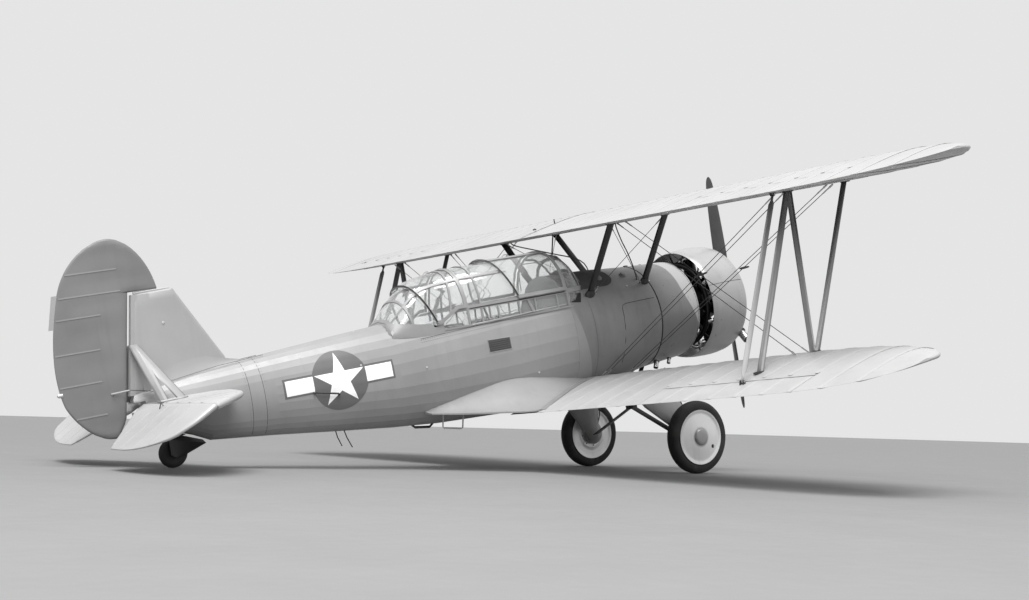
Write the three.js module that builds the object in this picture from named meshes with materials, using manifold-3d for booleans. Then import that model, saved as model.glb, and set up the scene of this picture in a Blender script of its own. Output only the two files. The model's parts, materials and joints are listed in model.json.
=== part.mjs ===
// Two-seat biplane trainer, full size, in millimetres, +X ahead, +Y to port, +Z up.
//
// Everything is drawn in the airframe's own level frame: the propeller hub's centre is the
// origin, X runs along the thrust line and falls towards the tail, and Z is square to it.
// At the end one group turns the aircraft nose up until its three tyres stand on Z = 0,
// and moves it so that the middle of its footprint is the origin.

import * as THREE from 'three';
import { mergeVertices } from 'three/addons/utils/BufferGeometryUtils.js';
import Module from 'manifold-3d';

const wasm = await Module();
wasm.setup();

// Driving dimensions

const GAP = 0.4;              // between two solids that rest on each other
const BRACE_GAP = 0.8;        // the same, on sloping faces
const MOVING_GAP = 7;         // between a fixed solid and one that moves

const WHEEL = { x: -1585, y: 922, z: -1363, radius: 381, tyreWidth: 127 };
const TAIL_WHEEL = { x: -6800, z: -418, radius: 130, width: 62 };

// Parked, the main wheels and the tail wheel touch one level floor: about 13 degrees nose up.
const WHEEL_BASE = { run: WHEEL.x - TAIL_WHEEL.x, rise: WHEEL.z - TAIL_WHEEL.z };
const WHEEL_STEP = (WHEEL.radius - TAIL_WHEEL.radius) / Math.hypot(WHEEL_BASE.run, WHEEL_BASE.rise);
const PARKED_NOSE_UP = Math.asin(WHEEL_STEP) - Math.atan2(WHEEL_BASE.rise, WHEEL_BASE.run);

// Both wings share a chord, a flat-bottomed section and a rounded tip.
const CHORD = 1418;
const THICKNESS = 0.1185;     // of the chord
const TAIL_LIFT = 0.014;      // how far the trailing edge lies above the flat underside
const HALF_SPAN = 5030;
// The tip's furthest point is this share of the chord back from the nose. The nose of the
// outline starts to curve in at noseFrom, its tail at tailFrom, and the tip rises by lift
// of the chord that it has lost.
const TIP = { at: 0.655, noseFrom: 3380, tailFrom: 4190, noseBend: 2.0, tailBend: 2.1, lift: 0.067 };
const deg = THREE.MathUtils.degToRad;
const UPPER_WING = { noseX: -1351, bottomZ: 998, incidence: deg(1.35), dihedral: 0 };
const LOWER_WING = { noseX: -2068, bottomZ: -735, incidence: deg(2.08), dihedral: deg(3.0) };
const AILERON = { inner: 2360, outer: 4160, hinge: 0.775, noseRadius: 38 };
// The link between the ailerons: its eyes, behind each hinge and off each skin.
const LINK = {
  y: 3400, upperBehind: 98, lowerBehind: 50, below: 14, above: 20,
  chord: 62, width: 28, endChord: 24, endWidth: 20,
};

// Where struts meet the wings, as shares of the chord.
const UPPER_SPARS = { front: 0.16, rear: 0.682 };
const LOWER_SPARS = { front: 0.135, rear: 0.6375 };
const INTERPLANE_Y = 3362;
const CABANE = { topY: 962, footY: 400, rearFoot: [-2300, 262], frontFoot: [-1533, 303] };

const RUDDER_HINGE = { top: [-6980, 995], foot: [-7166, -67] };
const ELEVATOR_HINGE = { x: -7019, z: 35 };
const ELEVATOR_DROOP = deg(28);

const SILL_Z = 200;           // top of the cockpit's side walls
const RAIL_Z = 378;           // where the sliding hoods run
const COCKPIT = { front: -2600, rear: -4120, floorZ: -450, wall: 28 };
// Each hood runs from an upright front edge to a sloping rear one, given at its top and its foot.
const FRONT_HOOD = { front: -2628, endTop: [-3345, 806], endFoot: [-3205, 388] };
const REAR_HOOD = { front: -3807, endTop: [-4320, 700], endFoot: [-4150, 273] };
const HOOD_OFFSET = 21;       // outwards, so that the hoods slide over the fixed parts
const DRUM = { front: -908, rear: -1480 };
const RING = { rear: -748, front: -206, centreZ: -30 };
const PROPELLER = { x: 50, radius: 1381 };

// Paints and finishes

const paint = (colour, roughness, metalness = 0) =>
  new THREE.MeshStandardMaterial({ color: colour, roughness, metalness });
const WING_SILVER = paint(0xc9cac8, 0.55, 0.15);
const BODY_GREY = paint(0x9a9b99, 0.5, 0.1);
const NOSE_GREY = paint(0x6c6d6c, 0.45, 0.1);
const RUDDER_GREY = paint(0x7b7c7b, 0.55);
const STRUT_GREY = paint(0x4b4c4c, 0.5);
const GLASS = paint(0xd8dcdc, 0.08);
const BARE_METAL = paint(0xa7a8a8, 0.35, 0.9);
const DARK_METAL = paint(0x2b2c2d, 0.45, 0.7);
const RUBBER = paint(0x1c1c1c, 0.85);
const BLADE = paint(0x4e4f50, 0.4, 0.5);
const SEAT = paint(0x5c5f58, 0.6, 0.3);

// Solids

function toSolid(geometry) {
  const bare = geometry.index ? geometry.toNonIndexed() : geometry.clone();
  for (const name of Object.keys(bare.attributes)) {
    if (name !== 'position') bare.deleteAttribute(name);
  }
  const welded = mergeVertices(bare, 1e-3);
  return new wasm.Manifold(new wasm.Mesh({
    numProp: 3,
    vertProperties: new Float32Array(welded.attributes.position.array),
    triVerts: new Uint32Array(welded.index.array),
  }));
}

function toGeometry(solid) {
  const mesh = solid.getMesh();
  const geometry = new THREE.BufferGeometry();
  geometry.setAttribute('position', new THREE.BufferAttribute(new Float32Array(mesh.vertProperties), 3));
  geometry.setIndex(new THREE.BufferAttribute(new Uint32Array(mesh.triVerts), 1));
  return geometry;
}

const union = (solids) => solids.reduce((all, next) => all.add(next));

// A closed skin over rings of points, all with the same number of points.
function loft(rings) {
  const count = rings[0].length;
  const points = rings.flat();
  const faces = [];
  for (let r = 0; r + 1 < rings.length; r++) {
    for (let i = 0; i < count; i++) {
      const j = (i + 1) % count;
      const a = r * count + i;
      const b = r * count + j;
      faces.push(a, b, b + count, a, b + count, a + count);
    }
  }
  for (const [r, turned] of [[0, true], [rings.length - 1, false]]) {
    for (const [a, b, c] of THREE.ShapeUtils.triangulateShape(flatten(rings[r]), [])) {
      const base = r * count;
      faces.push(...(turned ? [base + a, base + c, base + b] : [base + a, base + b, base + c]));
    }
  }
  return solidFrom(points, faces);
}

// A ring of points in space, seen square on, for triangulating an end.
function flatten(ring) {
  const normal = new THREE.Vector3();
  for (let i = 0; i < ring.length; i++) {
    const a = ring[i];
    const b = ring[(i + 1) % ring.length];
    normal.x += (a.y - b.y) * (a.z + b.z);
    normal.y += (a.z - b.z) * (a.x + b.x);
    normal.z += (a.x - b.x) * (a.y + b.y);
  }
  const turn = new THREE.Quaternion().setFromUnitVectors(normal.normalize(), new THREE.Vector3(0, 0, 1));
  return ring.map((point) => {
    const flat = point.clone().applyQuaternion(turn);
    return new THREE.Vector2(flat.x, flat.y);
  });
}

function solidFrom(points, faces) {
  const geometry = new THREE.BufferGeometry();
  const flat = points.flatMap((point) => [point.x, point.y, point.z]);
  geometry.setAttribute('position', new THREE.BufferAttribute(new Float32Array(flat), 3));
  let volume = 0;
  for (let i = 0; i < faces.length; i += 3) {
    const [a, b, c] = [points[faces[i]], points[faces[i + 1]], points[faces[i + 2]]];
    volume += a.dot(b.clone().cross(c));
  }
  geometry.setIndex(volume > 0 ? faces : [...faces].reverse());
  return toSolid(geometry);
}

const at = (x, y, z) => new THREE.Vector3(x, y, z);

function box(low, high) {
  const geometry = new THREE.BoxGeometry(high[0] - low[0], high[1] - low[1], high[2] - low[2]);
  geometry.translate((low[0] + high[0]) / 2, (low[1] + high[1]) / 2, (low[2] + high[2]) / 2);
  return toSolid(geometry);
}

// A round bar between two points.
function rod(from, to, radius, sides = 12, endRadius = radius) {
  const length = from.distanceTo(to);
  const geometry = new THREE.CylinderGeometry(endRadius, radius, length, sides);
  const along = to.clone().sub(from).normalize();
  geometry.applyQuaternion(new THREE.Quaternion().setFromUnitVectors(at(0, 1, 0), along));
  const middle = from.clone().add(to).multiplyScalar(0.5);
  geometry.translate(middle.x, middle.y, middle.z);
  return toSolid(geometry);
}

// A body turned about the X axis, from pairs of x and radius.
function turnedAlongX(profile, sides, centreZ = 0) {
  const geometry = new THREE.LatheGeometry(profile.map(([x, r]) => new THREE.Vector2(r, x)), sides);
  geometry.rotateZ(-Math.PI / 2);
  geometry.translate(0, 0, centreZ);
  return toSolid(geometry);
}

// A streamlined strut: a lens section, its long way along X, lofted from foot to head.
function strut(foot, head, chord, width, headChord = chord) {
  return loft([strutSection(foot, chord, width), strutSection(head, headChord, width)]);
}
const STRUT_OUTLINE = Array.from({ length: 12 }, (unused, i) => {
  const turn = (i / 12) * 2 * Math.PI;
  return [Math.cos(turn) / 2, (Math.sin(turn) / 2) * (1 - 0.25 * Math.cos(turn + Math.PI))];
});
function strutSection(centre, chord, width) {
  return STRUT_OUTLINE.map(([u, v]) => at(centre.x + u * chord, centre.y + v * width, centre.z));
}

const SLAB = { bevelEnabled: false, curveSegments: 8 };

// Fuselage sections

// x, half width, top z, bottom z, squareness (2 is an ellipse)
const FUSELAGE = [
  [-908, 541, 490, -592, 2.0],
  [-1480, 556, 510, -625, 2.0],
  [-2000, 535, 545, -705, 2.05],
  [-2600, 500, 560, -752, 2.1],
  [-3300, 462, 525, -765, 2.15],
  [-4120, 412, 430, -705, 2.2],
  [-4640, 372, 362, -642, 2.2],
  [-5200, 318, 332, -560, 2.15],
  [-5850, 246, 290, -460, 2.1],
  [-6450, 172, 242, -378, 2.1],
  [-6600, 148, 225, -300, 2.0],
  [-6900, 98, 180, -185, 2.0],
  [-7080, 62, 150, -110, 2.0],
];
const RING_POINTS = 32;

function fuselageAt(x) {
  let i = 1;
  while (i < FUSELAGE.length - 1 && FUSELAGE[i][0] > x) i++;
  const [a, b] = [FUSELAGE[i - 1], FUSELAGE[i]];
  const share = (a[0] - x) / (a[0] - b[0]);
  const [, width, top, bottom, power] = a.map((value, k) => value + (b[k] - value) * share);
  return { width, top, bottom, power };
}

function fuselageRing(x, grow = 0) {
  const { width, top, bottom, power } = fuselageAt(x);
  const middle = (top + bottom) / 2;
  const half = (top - bottom) / 2;
  return Array.from({ length: RING_POINTS }, (unused, i) => {
    const turn = (i / RING_POINTS) * 2 * Math.PI;
    const bend = (value) => Math.sign(value) * Math.abs(value) ** (2 / power);
    return at(x, (width + grow) * bend(Math.cos(turn)), middle + (half + grow) * bend(Math.sin(turn)));
  });
}

// Half width of the fuselage at a height.
function fuselageHalfWidth(x, z) {
  const { width, top, bottom, power } = fuselageAt(x);
  const rise = (z - (top + bottom) / 2) / ((top - bottom) / 2);
  return width * (1 - Math.abs(rise) ** power) ** (1 / power);
}

function fuselageBetween(front, rear, grow = 0) {
  const stations = [front, ...FUSELAGE.map((row) => row[0]).filter((x) => x < front && x > rear), rear];
  return loft(stations.map((x) => fuselageRing(x, grow)));
}

const noseToTail = () => fuselageBetween(-908, -7080, 1);

// Wings

// The usual thickness curve of a wing section, by powers 1/2, 1, 2, 3 and 4 of the chord share.
const HALF_THICKNESS = [0.2969, -0.126, -0.3516, 0.2843, -0.1036];

// Height of the flat-bottomed section's lower and upper skin, as shares of the chord.
function wingSkin(share) {
  const x = Math.min(Math.max(share, 0), 1);
  const [a, b, c, d, e] = HALF_THICKNESS;
  const bulge = a * Math.sqrt(x) + b * x + c * x ** 2 + d * x ** 3 + e * x ** 4;
  const lower = 0.035 * Math.exp(-x / 0.035) + TAIL_LIFT * Math.max(0, (x - 0.55) / 0.45) ** 2;
  return { lower, upper: lower + 10 * THICKNESS * bulge + 0.002 };
}
const CHORD_SHARES = [0, 0.02, 0.06, 0.14, 0.28, 0.45, 0.62, 0.8, 1];

// One wing section in its own flat frame: nose at x = 0, chord towards -X.
function wingRing(y) {
  const shrink = (from, bend) => {
    const outboard = Math.max(0, (Math.abs(y) - from) / (HALF_SPAN - from));
    return (1 - outboard ** bend) ** (1 / bend);
  };
  const nose = -CHORD * TIP.at * (1 - shrink(TIP.noseFrom, TIP.noseBend));
  const tail = -CHORD * (TIP.at + (1 - TIP.at) * shrink(TIP.tailFrom, TIP.tailBend));
  const chord = nose - tail;
  const lift = (CHORD - chord) * TIP.lift;
  const skin = (share, name) => at(nose - share * chord, y, lift + wingSkin(share)[name] * chord);
  return [
    ...CHORD_SHARES.map((share) => skin(share, 'upper')),
    ...CHORD_SHARES.slice(1).reverse().map((share) => skin(share, 'lower')),
  ];
}

const TIP_STEPS = [0, 0.28, 0.49, 0.66, 0.8, 0.9, 0.965, 0.995]
  .map((share) => TIP.noseFrom + share * (HALF_SPAN - TIP.noseFrom));

// The flat wing, before its incidence and dihedral.
function flatWing(innerY) {
  const starboard = innerY === null ? [...TIP_STEPS].reverse().map((y) => -y) : [innerY];
  return loft([...starboard, ...TIP_STEPS].map(wingRing));
}

const hingeX = -AILERON.hinge * CHORD;
const hingeZ = (wingSkin(AILERON.hinge).upper + wingSkin(AILERON.hinge).lower) / 2 * CHORD;

// The space an aileron works in, and the aileron itself.
function aileronBay(side) {
  const [low, high] = side > 0 ? [AILERON.inner, AILERON.outer] : [-AILERON.outer, -AILERON.inner];
  return union([
    box([-CHORD - 60, low, -120], [hingeX, high, 240]),
    rod(at(hingeX, low, hingeZ), at(hingeX, high, hingeZ), AILERON.noseRadius + MOVING_GAP + 3, 24),
  ]);
}

function aileron(wing, side) {
  const [low, high] = side > 0 ? [AILERON.inner, AILERON.outer] : [-AILERON.outer, -AILERON.inner];
  const [inner, outer] = [low + MOVING_GAP, high - MOVING_GAP];
  const blade = wing.intersect(box([-CHORD - 60, inner, -120], [hingeX, outer, 240]));
  return blade.add(rod(at(hingeX, inner, hingeZ), at(hingeX, outer, hingeZ), AILERON.noseRadius, 24));
}

// Incidence and place of each wing, as one matrix.
function wingPlace({ noseX, bottomZ, incidence, dihedral }, side = 1) {
  const tilt = new THREE.Matrix4().makeRotationY(-incidence);
  const lift = new THREE.Matrix4().makeRotationX(dihedral * side);
  const place = new THREE.Matrix4().makeTranslation(noseX, 0, bottomZ);
  return place.multiply(lift).multiply(tilt);
}

// manifold-3d takes a column-major 4 x 4 matrix, as three.js keeps it.
const placed = (solid, matrix) => solid.transform(matrix.elements);

// A point of the wing by share of the chord and span, on its lower or upper skin.
function onWing(wing, share, y, skin, side = 1) {
  const z = wingSkin(share)[skin] * CHORD;
  return at(-share * CHORD, y, z).applyMatrix4(wingPlace(wing, side));
}

// Canopy: an arch over the cockpit, from the sills up

// x, top z
const CANOPY_TOP = [
  [-2290, 560], [-2340, 615], [-2400, 700], [-2495, 786], [-2620, 806], [-3250, 806], [-3797, 798],
  [-3812, 772], [-4105, 742], [-4211, 718], [-4312, 672], [-4400, 592], [-4500, 482], [-4620, 345],
];
const CANOPY_POWER = 2.4;
const ARCH_STEPS = 14;

function canopyTop(x) {
  let i = 1;
  while (i < CANOPY_TOP.length - 1 && CANOPY_TOP[i][0] > x) i++;
  const [a, b] = [CANOPY_TOP[i - 1], CANOPY_TOP[i]];
  return a[1] + (b[1] - a[1]) * (a[0] - x) / (a[0] - b[0]);
}

// The windscreen draws in ahead of the front arch, and the tail of the canopy behind the rear one.
function canopyHalfWidth(x) {
  const side = fuselageHalfWidth(x, SILL_Z);
  const ahead = Math.max(0, (x - FRONT_HOOD.front) / (CANOPY_TOP[0][0] - FRONT_HOOD.front));
  const behind = Math.max(0, (REAR_HOOD.endTop[0] - x) / 440);
  return side * (1 - 0.3 * ahead ** 2) * (1 - 0.12 * behind ** 2);
}

function archPoint(x, turn, offset) {
  const bend = (value) => Math.sign(value) * Math.abs(value) ** (2 / CANOPY_POWER);
  const half = canopyHalfWidth(x) + offset;
  const rise = canopyTop(x) - SILL_Z + offset;
  return at(x, half * bend(Math.cos(turn)), SILL_Z + rise * bend(Math.sin(turn)));
}

// Angle round the arch at which it passes a height.
function turnAtHeight(x, z) {
  const share = Math.min(1, Math.max(0, (z - SILL_Z) / (canopyTop(x) - SILL_Z)));
  return Math.asin(share ** (CANOPY_POWER / 2));
}

// A shell of the canopy: between two x, two offsets and two turns (numbers or functions of x).
function archShell(xs, inner, outer, fromTurn = () => 0, toTurn = (x) => Math.PI - fromTurn(x)) {
  const rings = xs.map((x) => {
    const [low, high] = [fromTurn(x), toTurn(x)];
    const step = (high - low) / ARCH_STEPS;
    const turns = Array.from({ length: ARCH_STEPS + 1 }, (unused, i) => low + step * i);
    return [
      ...turns.map((turn) => archPoint(x, turn, outer)),
      ...turns.reverse().map((turn) => archPoint(x, turn, inner)),
    ];
  });
  return loft(rings);
}

const canopyStations = (front, rear) =>
  [front, ...CANOPY_TOP.map((row) => row[0]).filter((x) => x < front - 1 && x > rear + 1), rear];

// Members of the canopy's frames: each is a slab, and a frame is the shell where it meets them.
const hoop = ([topX, topZ], [footX, footZ], width) => uprightSlab(new THREE.Shape([
  [topX + width / 2, topZ], [topX - width / 2, topZ], [footX - width / 2, footZ], [footX + width / 2, footZ],
].map(([x, z]) => new THREE.Vector2(x, z))), 1600);
const strip = (front, rear, low, high) => box([rear, -800, low], [front, 800, high]);
function stringers(front, rear, turn, spread = 2.2) {
  const xs = canopyStations(front, rear);
  const [low, high] = [deg(turn - spread), deg(turn + spread)];
  return archShell(xs, -60, 90, () => low, () => high)
    .add(archShell(xs, -60, 90, () => Math.PI - high, () => Math.PI - low));
}

// All that lies ahead of a plane that slopes from its top to its foot, moved aft by shift.
function aheadOf(solid, [topX, topZ], [footX, footZ], shift = 0) {
  const length = Math.hypot(topX - footX, topZ - footZ);
  const normal = [(topZ - footZ) / length, 0, (footX - topX) / length];
  return solid.trimByPlane(normal, normal[0] * (topX - shift) + normal[2] * topZ);
}

// All that lies under the hoods' lower edge, which drops behind the rail.
const underHoods = (drop) => uprightSlab(new THREE.Shape([
  [-2000, RAIL_Z + 10], [-3900, RAIL_Z + 10], [-4100, RAIL_Z - 103], [-5000, RAIL_Z - 103],
  [-5000, -900], [-2000, -900],
].map(([x, z]) => new THREE.Vector2(x, z > 0 ? z - drop : z))), 1600);

// Pieces

const pieces = [];
function piece(name, solid, material, matrix = new THREE.Matrix4()) {
  const mesh = new THREE.Mesh(toGeometry(solid), material);
  mesh.name = name;
  mesh.applyMatrix4(matrix);
  pieces.push(mesh);
  return mesh;
}

const SIDES = [['port', 1], ['starboard', -1]];
const ALL = 9000;
const portHalf = box([-ALL, GAP / 2, -ALL], [ALL, ALL, ALL]);
const sideOf = (side) => side > 0 ? portHalf : portHalf.mirror([0, 1, 0]);

// Fuselage: nose drum, tank bay, open cockpit, rear body and tail cone
{
  piece('nose_cowling', fuselageBetween(DRUM.front, DRUM.rear + GAP), NOSE_GREY);
  piece('forward_fuselage', fuselageBetween(DRUM.rear, COCKPIT.front + GAP), NOSE_GREY);

  const tub = fuselageBetween(COCKPIT.front, COCKPIT.rear + GAP);
  const hollow = fuselageBetween(COCKPIT.front + 50, COCKPIT.rear - 50, -COCKPIT.wall);
  const wallRoom = box([-ALL, -ALL, COCKPIT.floorZ + GAP], [ALL, ALL, SILL_Z - GAP]);
  const wall = tub.subtract(hollow).intersect(wallRoom);
  for (const [name, side] of SIDES) piece(`cockpit_side_${name}`, wall.intersect(sideOf(side)), BODY_GREY);
  const underFloor = box([-ALL, -ALL, -ALL], [ALL, ALL, COCKPIT.floorZ]);
  piece('cockpit_floor', tub.intersect(underFloor), BODY_GREY);

  const rearDeckWell = box([-4560, -260, 120], [-4000, 260, 900]);
  const tailSplit = -5560;
  piece('rear_fuselage', fuselageBetween(COCKPIT.rear, tailSplit + GAP).subtract(rearDeckWell), BODY_GREY);

  const rudderRoom = rod(at(-7196, 0, -400), at(-6980, 0, 995), 60, 24);
  const torqueTubeRoom = box([-7120, -300, -10], [-6985, 300, 80]);
  piece('tail_cone', fuselageBetween(tailSplit, -7080).subtract(rudderRoom).subtract(torqueTubeRoom), BODY_GREY);
}

// Canopy: a fixed frame with the windscreen, the sill panes, the middle and the tail, and two
// sliding hoods
{
  const body = noseToTail();
  const overall = canopyStations(-2290, -4620);
  const roomFor = ({ front, endTop, endFoot }, rear, shift) => {
    const arch = archShell(canopyStations(front + 8, rear), -80, 120).subtract(underHoods(4));
    return aheadOf(arch, endTop, endFoot, shift);
  };
  const rooms = roomFor(FRONT_HOOD, -3400, -80).add(roomFor(REAR_HOOD, -4400, 6));

  const railTop = RAIL_Z + 26;
  const members = union([
    strip(-2290, -4620, SILL_Z - 20, SILL_Z + 20),
    strip(-2290, -4020, RAIL_Z - 22, railTop),
    ...[-2745, -3010, -3205, -3450].map((x) => strip(x + 9, x - 9, SILL_Z, RAIL_Z)),
    hoop([-2300, 900], [-2300, 200], 44),
    hoop([-2610, 900], [-2610, 200], 28),
    hoop([-2455, 900], [-2345, 200], 20),
    stringers(-2290, -2620, 66),
    hoop([-3272, 900], [-3039, 200], 26),
    hoop([-3620, 900], [-3640, 200], 22),
    hoop([-3790, 900], [-3790, 200], 24),
    stringers(-3100, -3800, 50),
    hoop([-4392, 900], [-4106, 200], 30),
    hoop([-4470, 900], [-4380, 200], 18),
    hoop([-4600, 900], [-4600, 200], 60),
    stringers(-4160, -4620, 50),
  ]);
  const frame = archShell(overall, -2, 8).subtract(body).subtract(rooms).intersect(members);
  piece('canopy_fixed_frame', largest(frame), BODY_GREY);
  const pane = archShell(overall, -9, -4).subtract(archShell(overall, -3, 30));
  piece('canopy_fixed_glass', largest(pane.subtract(body).subtract(rooms)), GLASS);

  const hood = (name, { front, endTop, endFoot }, rear, ownMembers) => {
    const xs = canopyStations(front, rear);
    const skin = (inner, outer) => aheadOf(archShell(xs, inner, outer).subtract(underHoods(0)), endTop, endFoot);
    const edges = union([hoop([front - 12, 900], [front - 12, 200], 24), underHoods(-36), ...ownMembers]);
    const lastHoop = skin(HOOD_OFFSET, HOOD_OFFSET + 10)
      .subtract(aheadOf(archShell(xs, -80, 120), endTop, endFoot, -20));
    piece(`${name}_frame`, skin(HOOD_OFFSET, HOOD_OFFSET + 10).intersect(edges).add(lastHoop), BODY_GREY);
    piece(`${name}_glass`, skin(HOOD_OFFSET - 6, HOOD_OFFSET - 2), GLASS);
  };
  hood('front_hood', FRONT_HOOD, -3400, [stringers(-2600, -3400, 75)]);
  hood('rear_hood', REAR_HOOD, -4400, [stringers(-3800, -4400, 50), hoop([-3870, 900], [-4030, 200], 22)]);
}

// Cockpit fittings that show through the glass
{
  const floor = COCKPIT.floorZ + GAP;
  for (const [name, x] of [['front_seat', -3080], ['rear_seat', -3850]]) {
    const pan = box([x - 200, -215, -190], [x + 210, 215, -165]);
    const back = loft([[x - 200, -195], [x - 230, 215]].map(([front, z]) => [
      at(front - 25, -215, z), at(front, -215, z), at(front, 215, z), at(front - 25, 215, z),
    ]));
    const sides = [-1, 1].flatMap((side) => [
      box([x - 220, side * 205 - 10, -190], [x + 170, side * 205 + 10, -60]),
      box([x - 150, side * 150 - 20, floor], [x + 120, side * 150 + 20, -185]),
    ]);
    piece(name, union([pan, back, ...sides]), SEAT);
  }
  for (const [name, x] of [['front_instrument_panel', -2700], ['rear_instrument_panel', -3440]]) {
    const outline = box([x - 14, -330, -70], [x + 14, 330, 170]);
    const posts = [-1, 1].map((side) => (
      box([x - 14, side * 250 - 15, floor], [x + 14, side * 250 + 15, -65])));
    piece(name, union([outline, ...posts]), DARK_METAL);
  }
}

// Wings and ailerons
const upperPlace = wingPlace(UPPER_WING);
const upperFlat = flatWing(null);
const upperWing = upperFlat.subtract(aileronBay(1)).subtract(aileronBay(-1));
piece('upper_wing', placed(upperWing, upperPlace), WING_SILVER);
for (const [name, side] of SIDES) {
  const solid = placed(aileron(upperFlat, side), upperPlace).add(linkLugs(upperEye(side), 1));
  piece(`upper_aileron_${name}`, solid, WING_SILVER);
}

const lowerSolids = {};
for (const [name, side] of SIDES) {
  const place = wingPlace(LOWER_WING, side);
  const flat = flatWing(280);
  const whole = side > 0 ? flat : flat.mirror([0, 1, 0]);
  const wing = placed(whole.subtract(aileronBay(side)), place);
  const fairing = rootFairing(side);
  const solid = wing.add(fairing).subtract(noseToTail());
  lowerSolids[name] = solid;
  piece(`lower_wing_${name}`, solid, WING_SILVER);
  const blade = placed(aileron(whole, side), place);
  piece(`lower_aileron_${name}`, blade.add(linkLugs(lowerEye(side), -1)), WING_SILVER);
}

// The eyes of the link between the ailerons, under the upper one and over the lower one.
function upperEye(side) {
  const share = AILERON.hinge + LINK.upperBehind / CHORD;
  return onWing(UPPER_WING, share, side * LINK.y, 'lower').add(at(0, 0, -LINK.below));
}
function lowerEye(side) {
  const share = AILERON.hinge + LINK.lowerBehind / CHORD;
  return onWing(LOWER_WING, share, side * LINK.y, 'upper', side).add(at(0, 0, LINK.above));
}

// Two cheeks beside an eye, from inside the skin to a little past the eye.
function linkLugs(eye, towardsSkin) {
  const inner = LINK.endWidth / 2 + 6;
  const zs = [eye.z - towardsSkin * 12, eye.z + towardsSkin * 34].sort((a, b) => a - b);
  return union([-1, 1].map((way) => {
    const ys = [eye.y + way * inner, eye.y + way * (inner + 5)].sort((a, b) => a - b);
    return box([eye.x - 17, ys[0], zs[0]], [eye.x + 17, ys[1], zs[1]]);
  }));
}

// The sheet that fairs the lower wing into the fuselage and runs on behind it to a point.
function rootFairing(side) {
  // x, outer y, bottom z, rim z, height up the fuselage
  const rows = [
    [-2500, 470, -640, -600, -540],
    [-3000, 640, -690, -612, -430],
    [-3440, 830, -712, -696, -360],
    [-3800, 660, -668, -652, -400],
    [-4150, 510, -610, -596, -460],
    [-4400, 400, -560, -548, -520],
  ];
  return loft(rows.map(([x, outer, bottom, rim, top]) => {
    const inner = Math.max(60, fuselageHalfWidth(x, -500) - 80);
    const middle = (outer + inner) / 2;
    const shoulder = rim + (top - rim) * 0.2;
    const points = [[inner, bottom], [outer, bottom], [outer, rim], [middle, shoulder], [inner, top]];
    return points.map(([y, z]) => at(x, side * y, z));
  }));
}

// Struts between the wings and over the fuselage
const lowered = (solid, z) => solid.translate([0, 0, z]);
const upperWingSkin = lowered(placed(upperFlat, upperPlace), -GAP);
for (const [name, side] of SIDES) {
  const y = side * INTERPLANE_Y;
  const top = (spar) => onWing(UPPER_WING, UPPER_SPARS[spar], y, 'lower').add(at(0, 0, 30));
  const foot = (spar) => onWing(LOWER_WING, LOWER_SPARS[spar], y, 'upper', side).add(at(0, 0, -30));
  const lowerSkin = lowered(lowerSolids[name], GAP);
  const n = union([
    strut(foot('front'), top('front'), 66, 32),
    strut(foot('rear'), top('rear'), 76, 34),
    strut(foot('front').add(at(-40, 0, 0)), top('rear').add(at(10, 0, 0)), 70, 30),
    strut(foot('front').add(at(-20, 0, 25)), foot('front').add(at(-20, 0, 60)), 110, 34),
  ]).subtract(upperWingSkin).subtract(lowerSkin);
  piece(`interplane_struts_${name}`, n, WING_SILVER);

  for (const [row, [x, z]] of [['rear', CABANE.rearFoot], ['front', CABANE.frontFoot]]) {
    const head = onWing(UPPER_WING, UPPER_SPARS[row], side * CABANE.topY, 'lower');
    const rise = head.clone().sub(at(x, side * CABANE.footY, z)).normalize();
    const low = at(x, side * CABANE.footY, z).sub(rise.clone().multiplyScalar(60));
    const solid = strut(low, head.add(rise.multiplyScalar(30)), 92, 38)
      .subtract(upperWingSkin).subtract(noseToTail());
    piece(`cabane_${row}_${name}`, largest(solid), STRUT_GREY);
  }
}

// The biggest of a solid's separate bodies.
function largest(solid) {
  return solid.decompose().reduce((best, next) => next.volume() > best.volume() ? next : best);
}

// Link struts between the ailerons: full section between two narrow ends
for (const [name, side] of SIDES) {
  const [head, foot] = [upperEye(side), lowerEye(side)];
  const along = head.clone().sub(foot).normalize();
  const end = (eye, step) => strutSection(
    eye.clone().addScaledVector(along, step), LINK.endChord, LINK.endWidth);
  const middle = (eye, step) => strutSection(
    eye.clone().addScaledVector(along, step), LINK.chord, LINK.width);
  piece(`aileron_link_${name}`, loft([
    end(foot, -4), end(foot, 50), middle(foot, 84), middle(head, -84), end(head, -50), end(head, 4),
  ]), WING_SILVER);
}

// Tail surfaces, drawn side on or from above and then thinned to a streamlined section

const hingeTop = new THREE.Vector2(...RUDDER_HINGE.top);
const hingeFoot = new THREE.Vector2(...RUDDER_HINGE.foot);

// A slab of an outline in the XZ plane, centred on Y = 0.
function uprightSlab(shape, thickness) {
  const geometry = new THREE.ExtrudeGeometry(shape, { ...SLAB, depth: thickness });
  geometry.rotateX(Math.PI / 2);
  geometry.translate(0, thickness / 2, 0);
  return toSolid(geometry);
}

// A slab of an outline in the XY plane, centred on Z = 0.
function levelSlab(shape, thickness) {
  const geometry = new THREE.ExtrudeGeometry(shape, { ...SLAB, depth: thickness });
  geometry.translate(0, 0, -thickness / 2);
  return toSolid(geometry);
}

// A long lens: full thickness at each x of the table, the same all along its length.
function lens(rows, lengthwise) {
  const rightSide = rows.map(([x, t]) => [x, t / 2]);
  const outline = [...rightSide, ...rightSide.map(([x, t]) => [x, -t]).reverse()];
  const ring = (s) => outline.map(([x, t]) => lengthwise === 'z' ? at(x, t, s) : at(x, s, t));
  return loft([ring(-2600), ring(2600)]);
}

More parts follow.
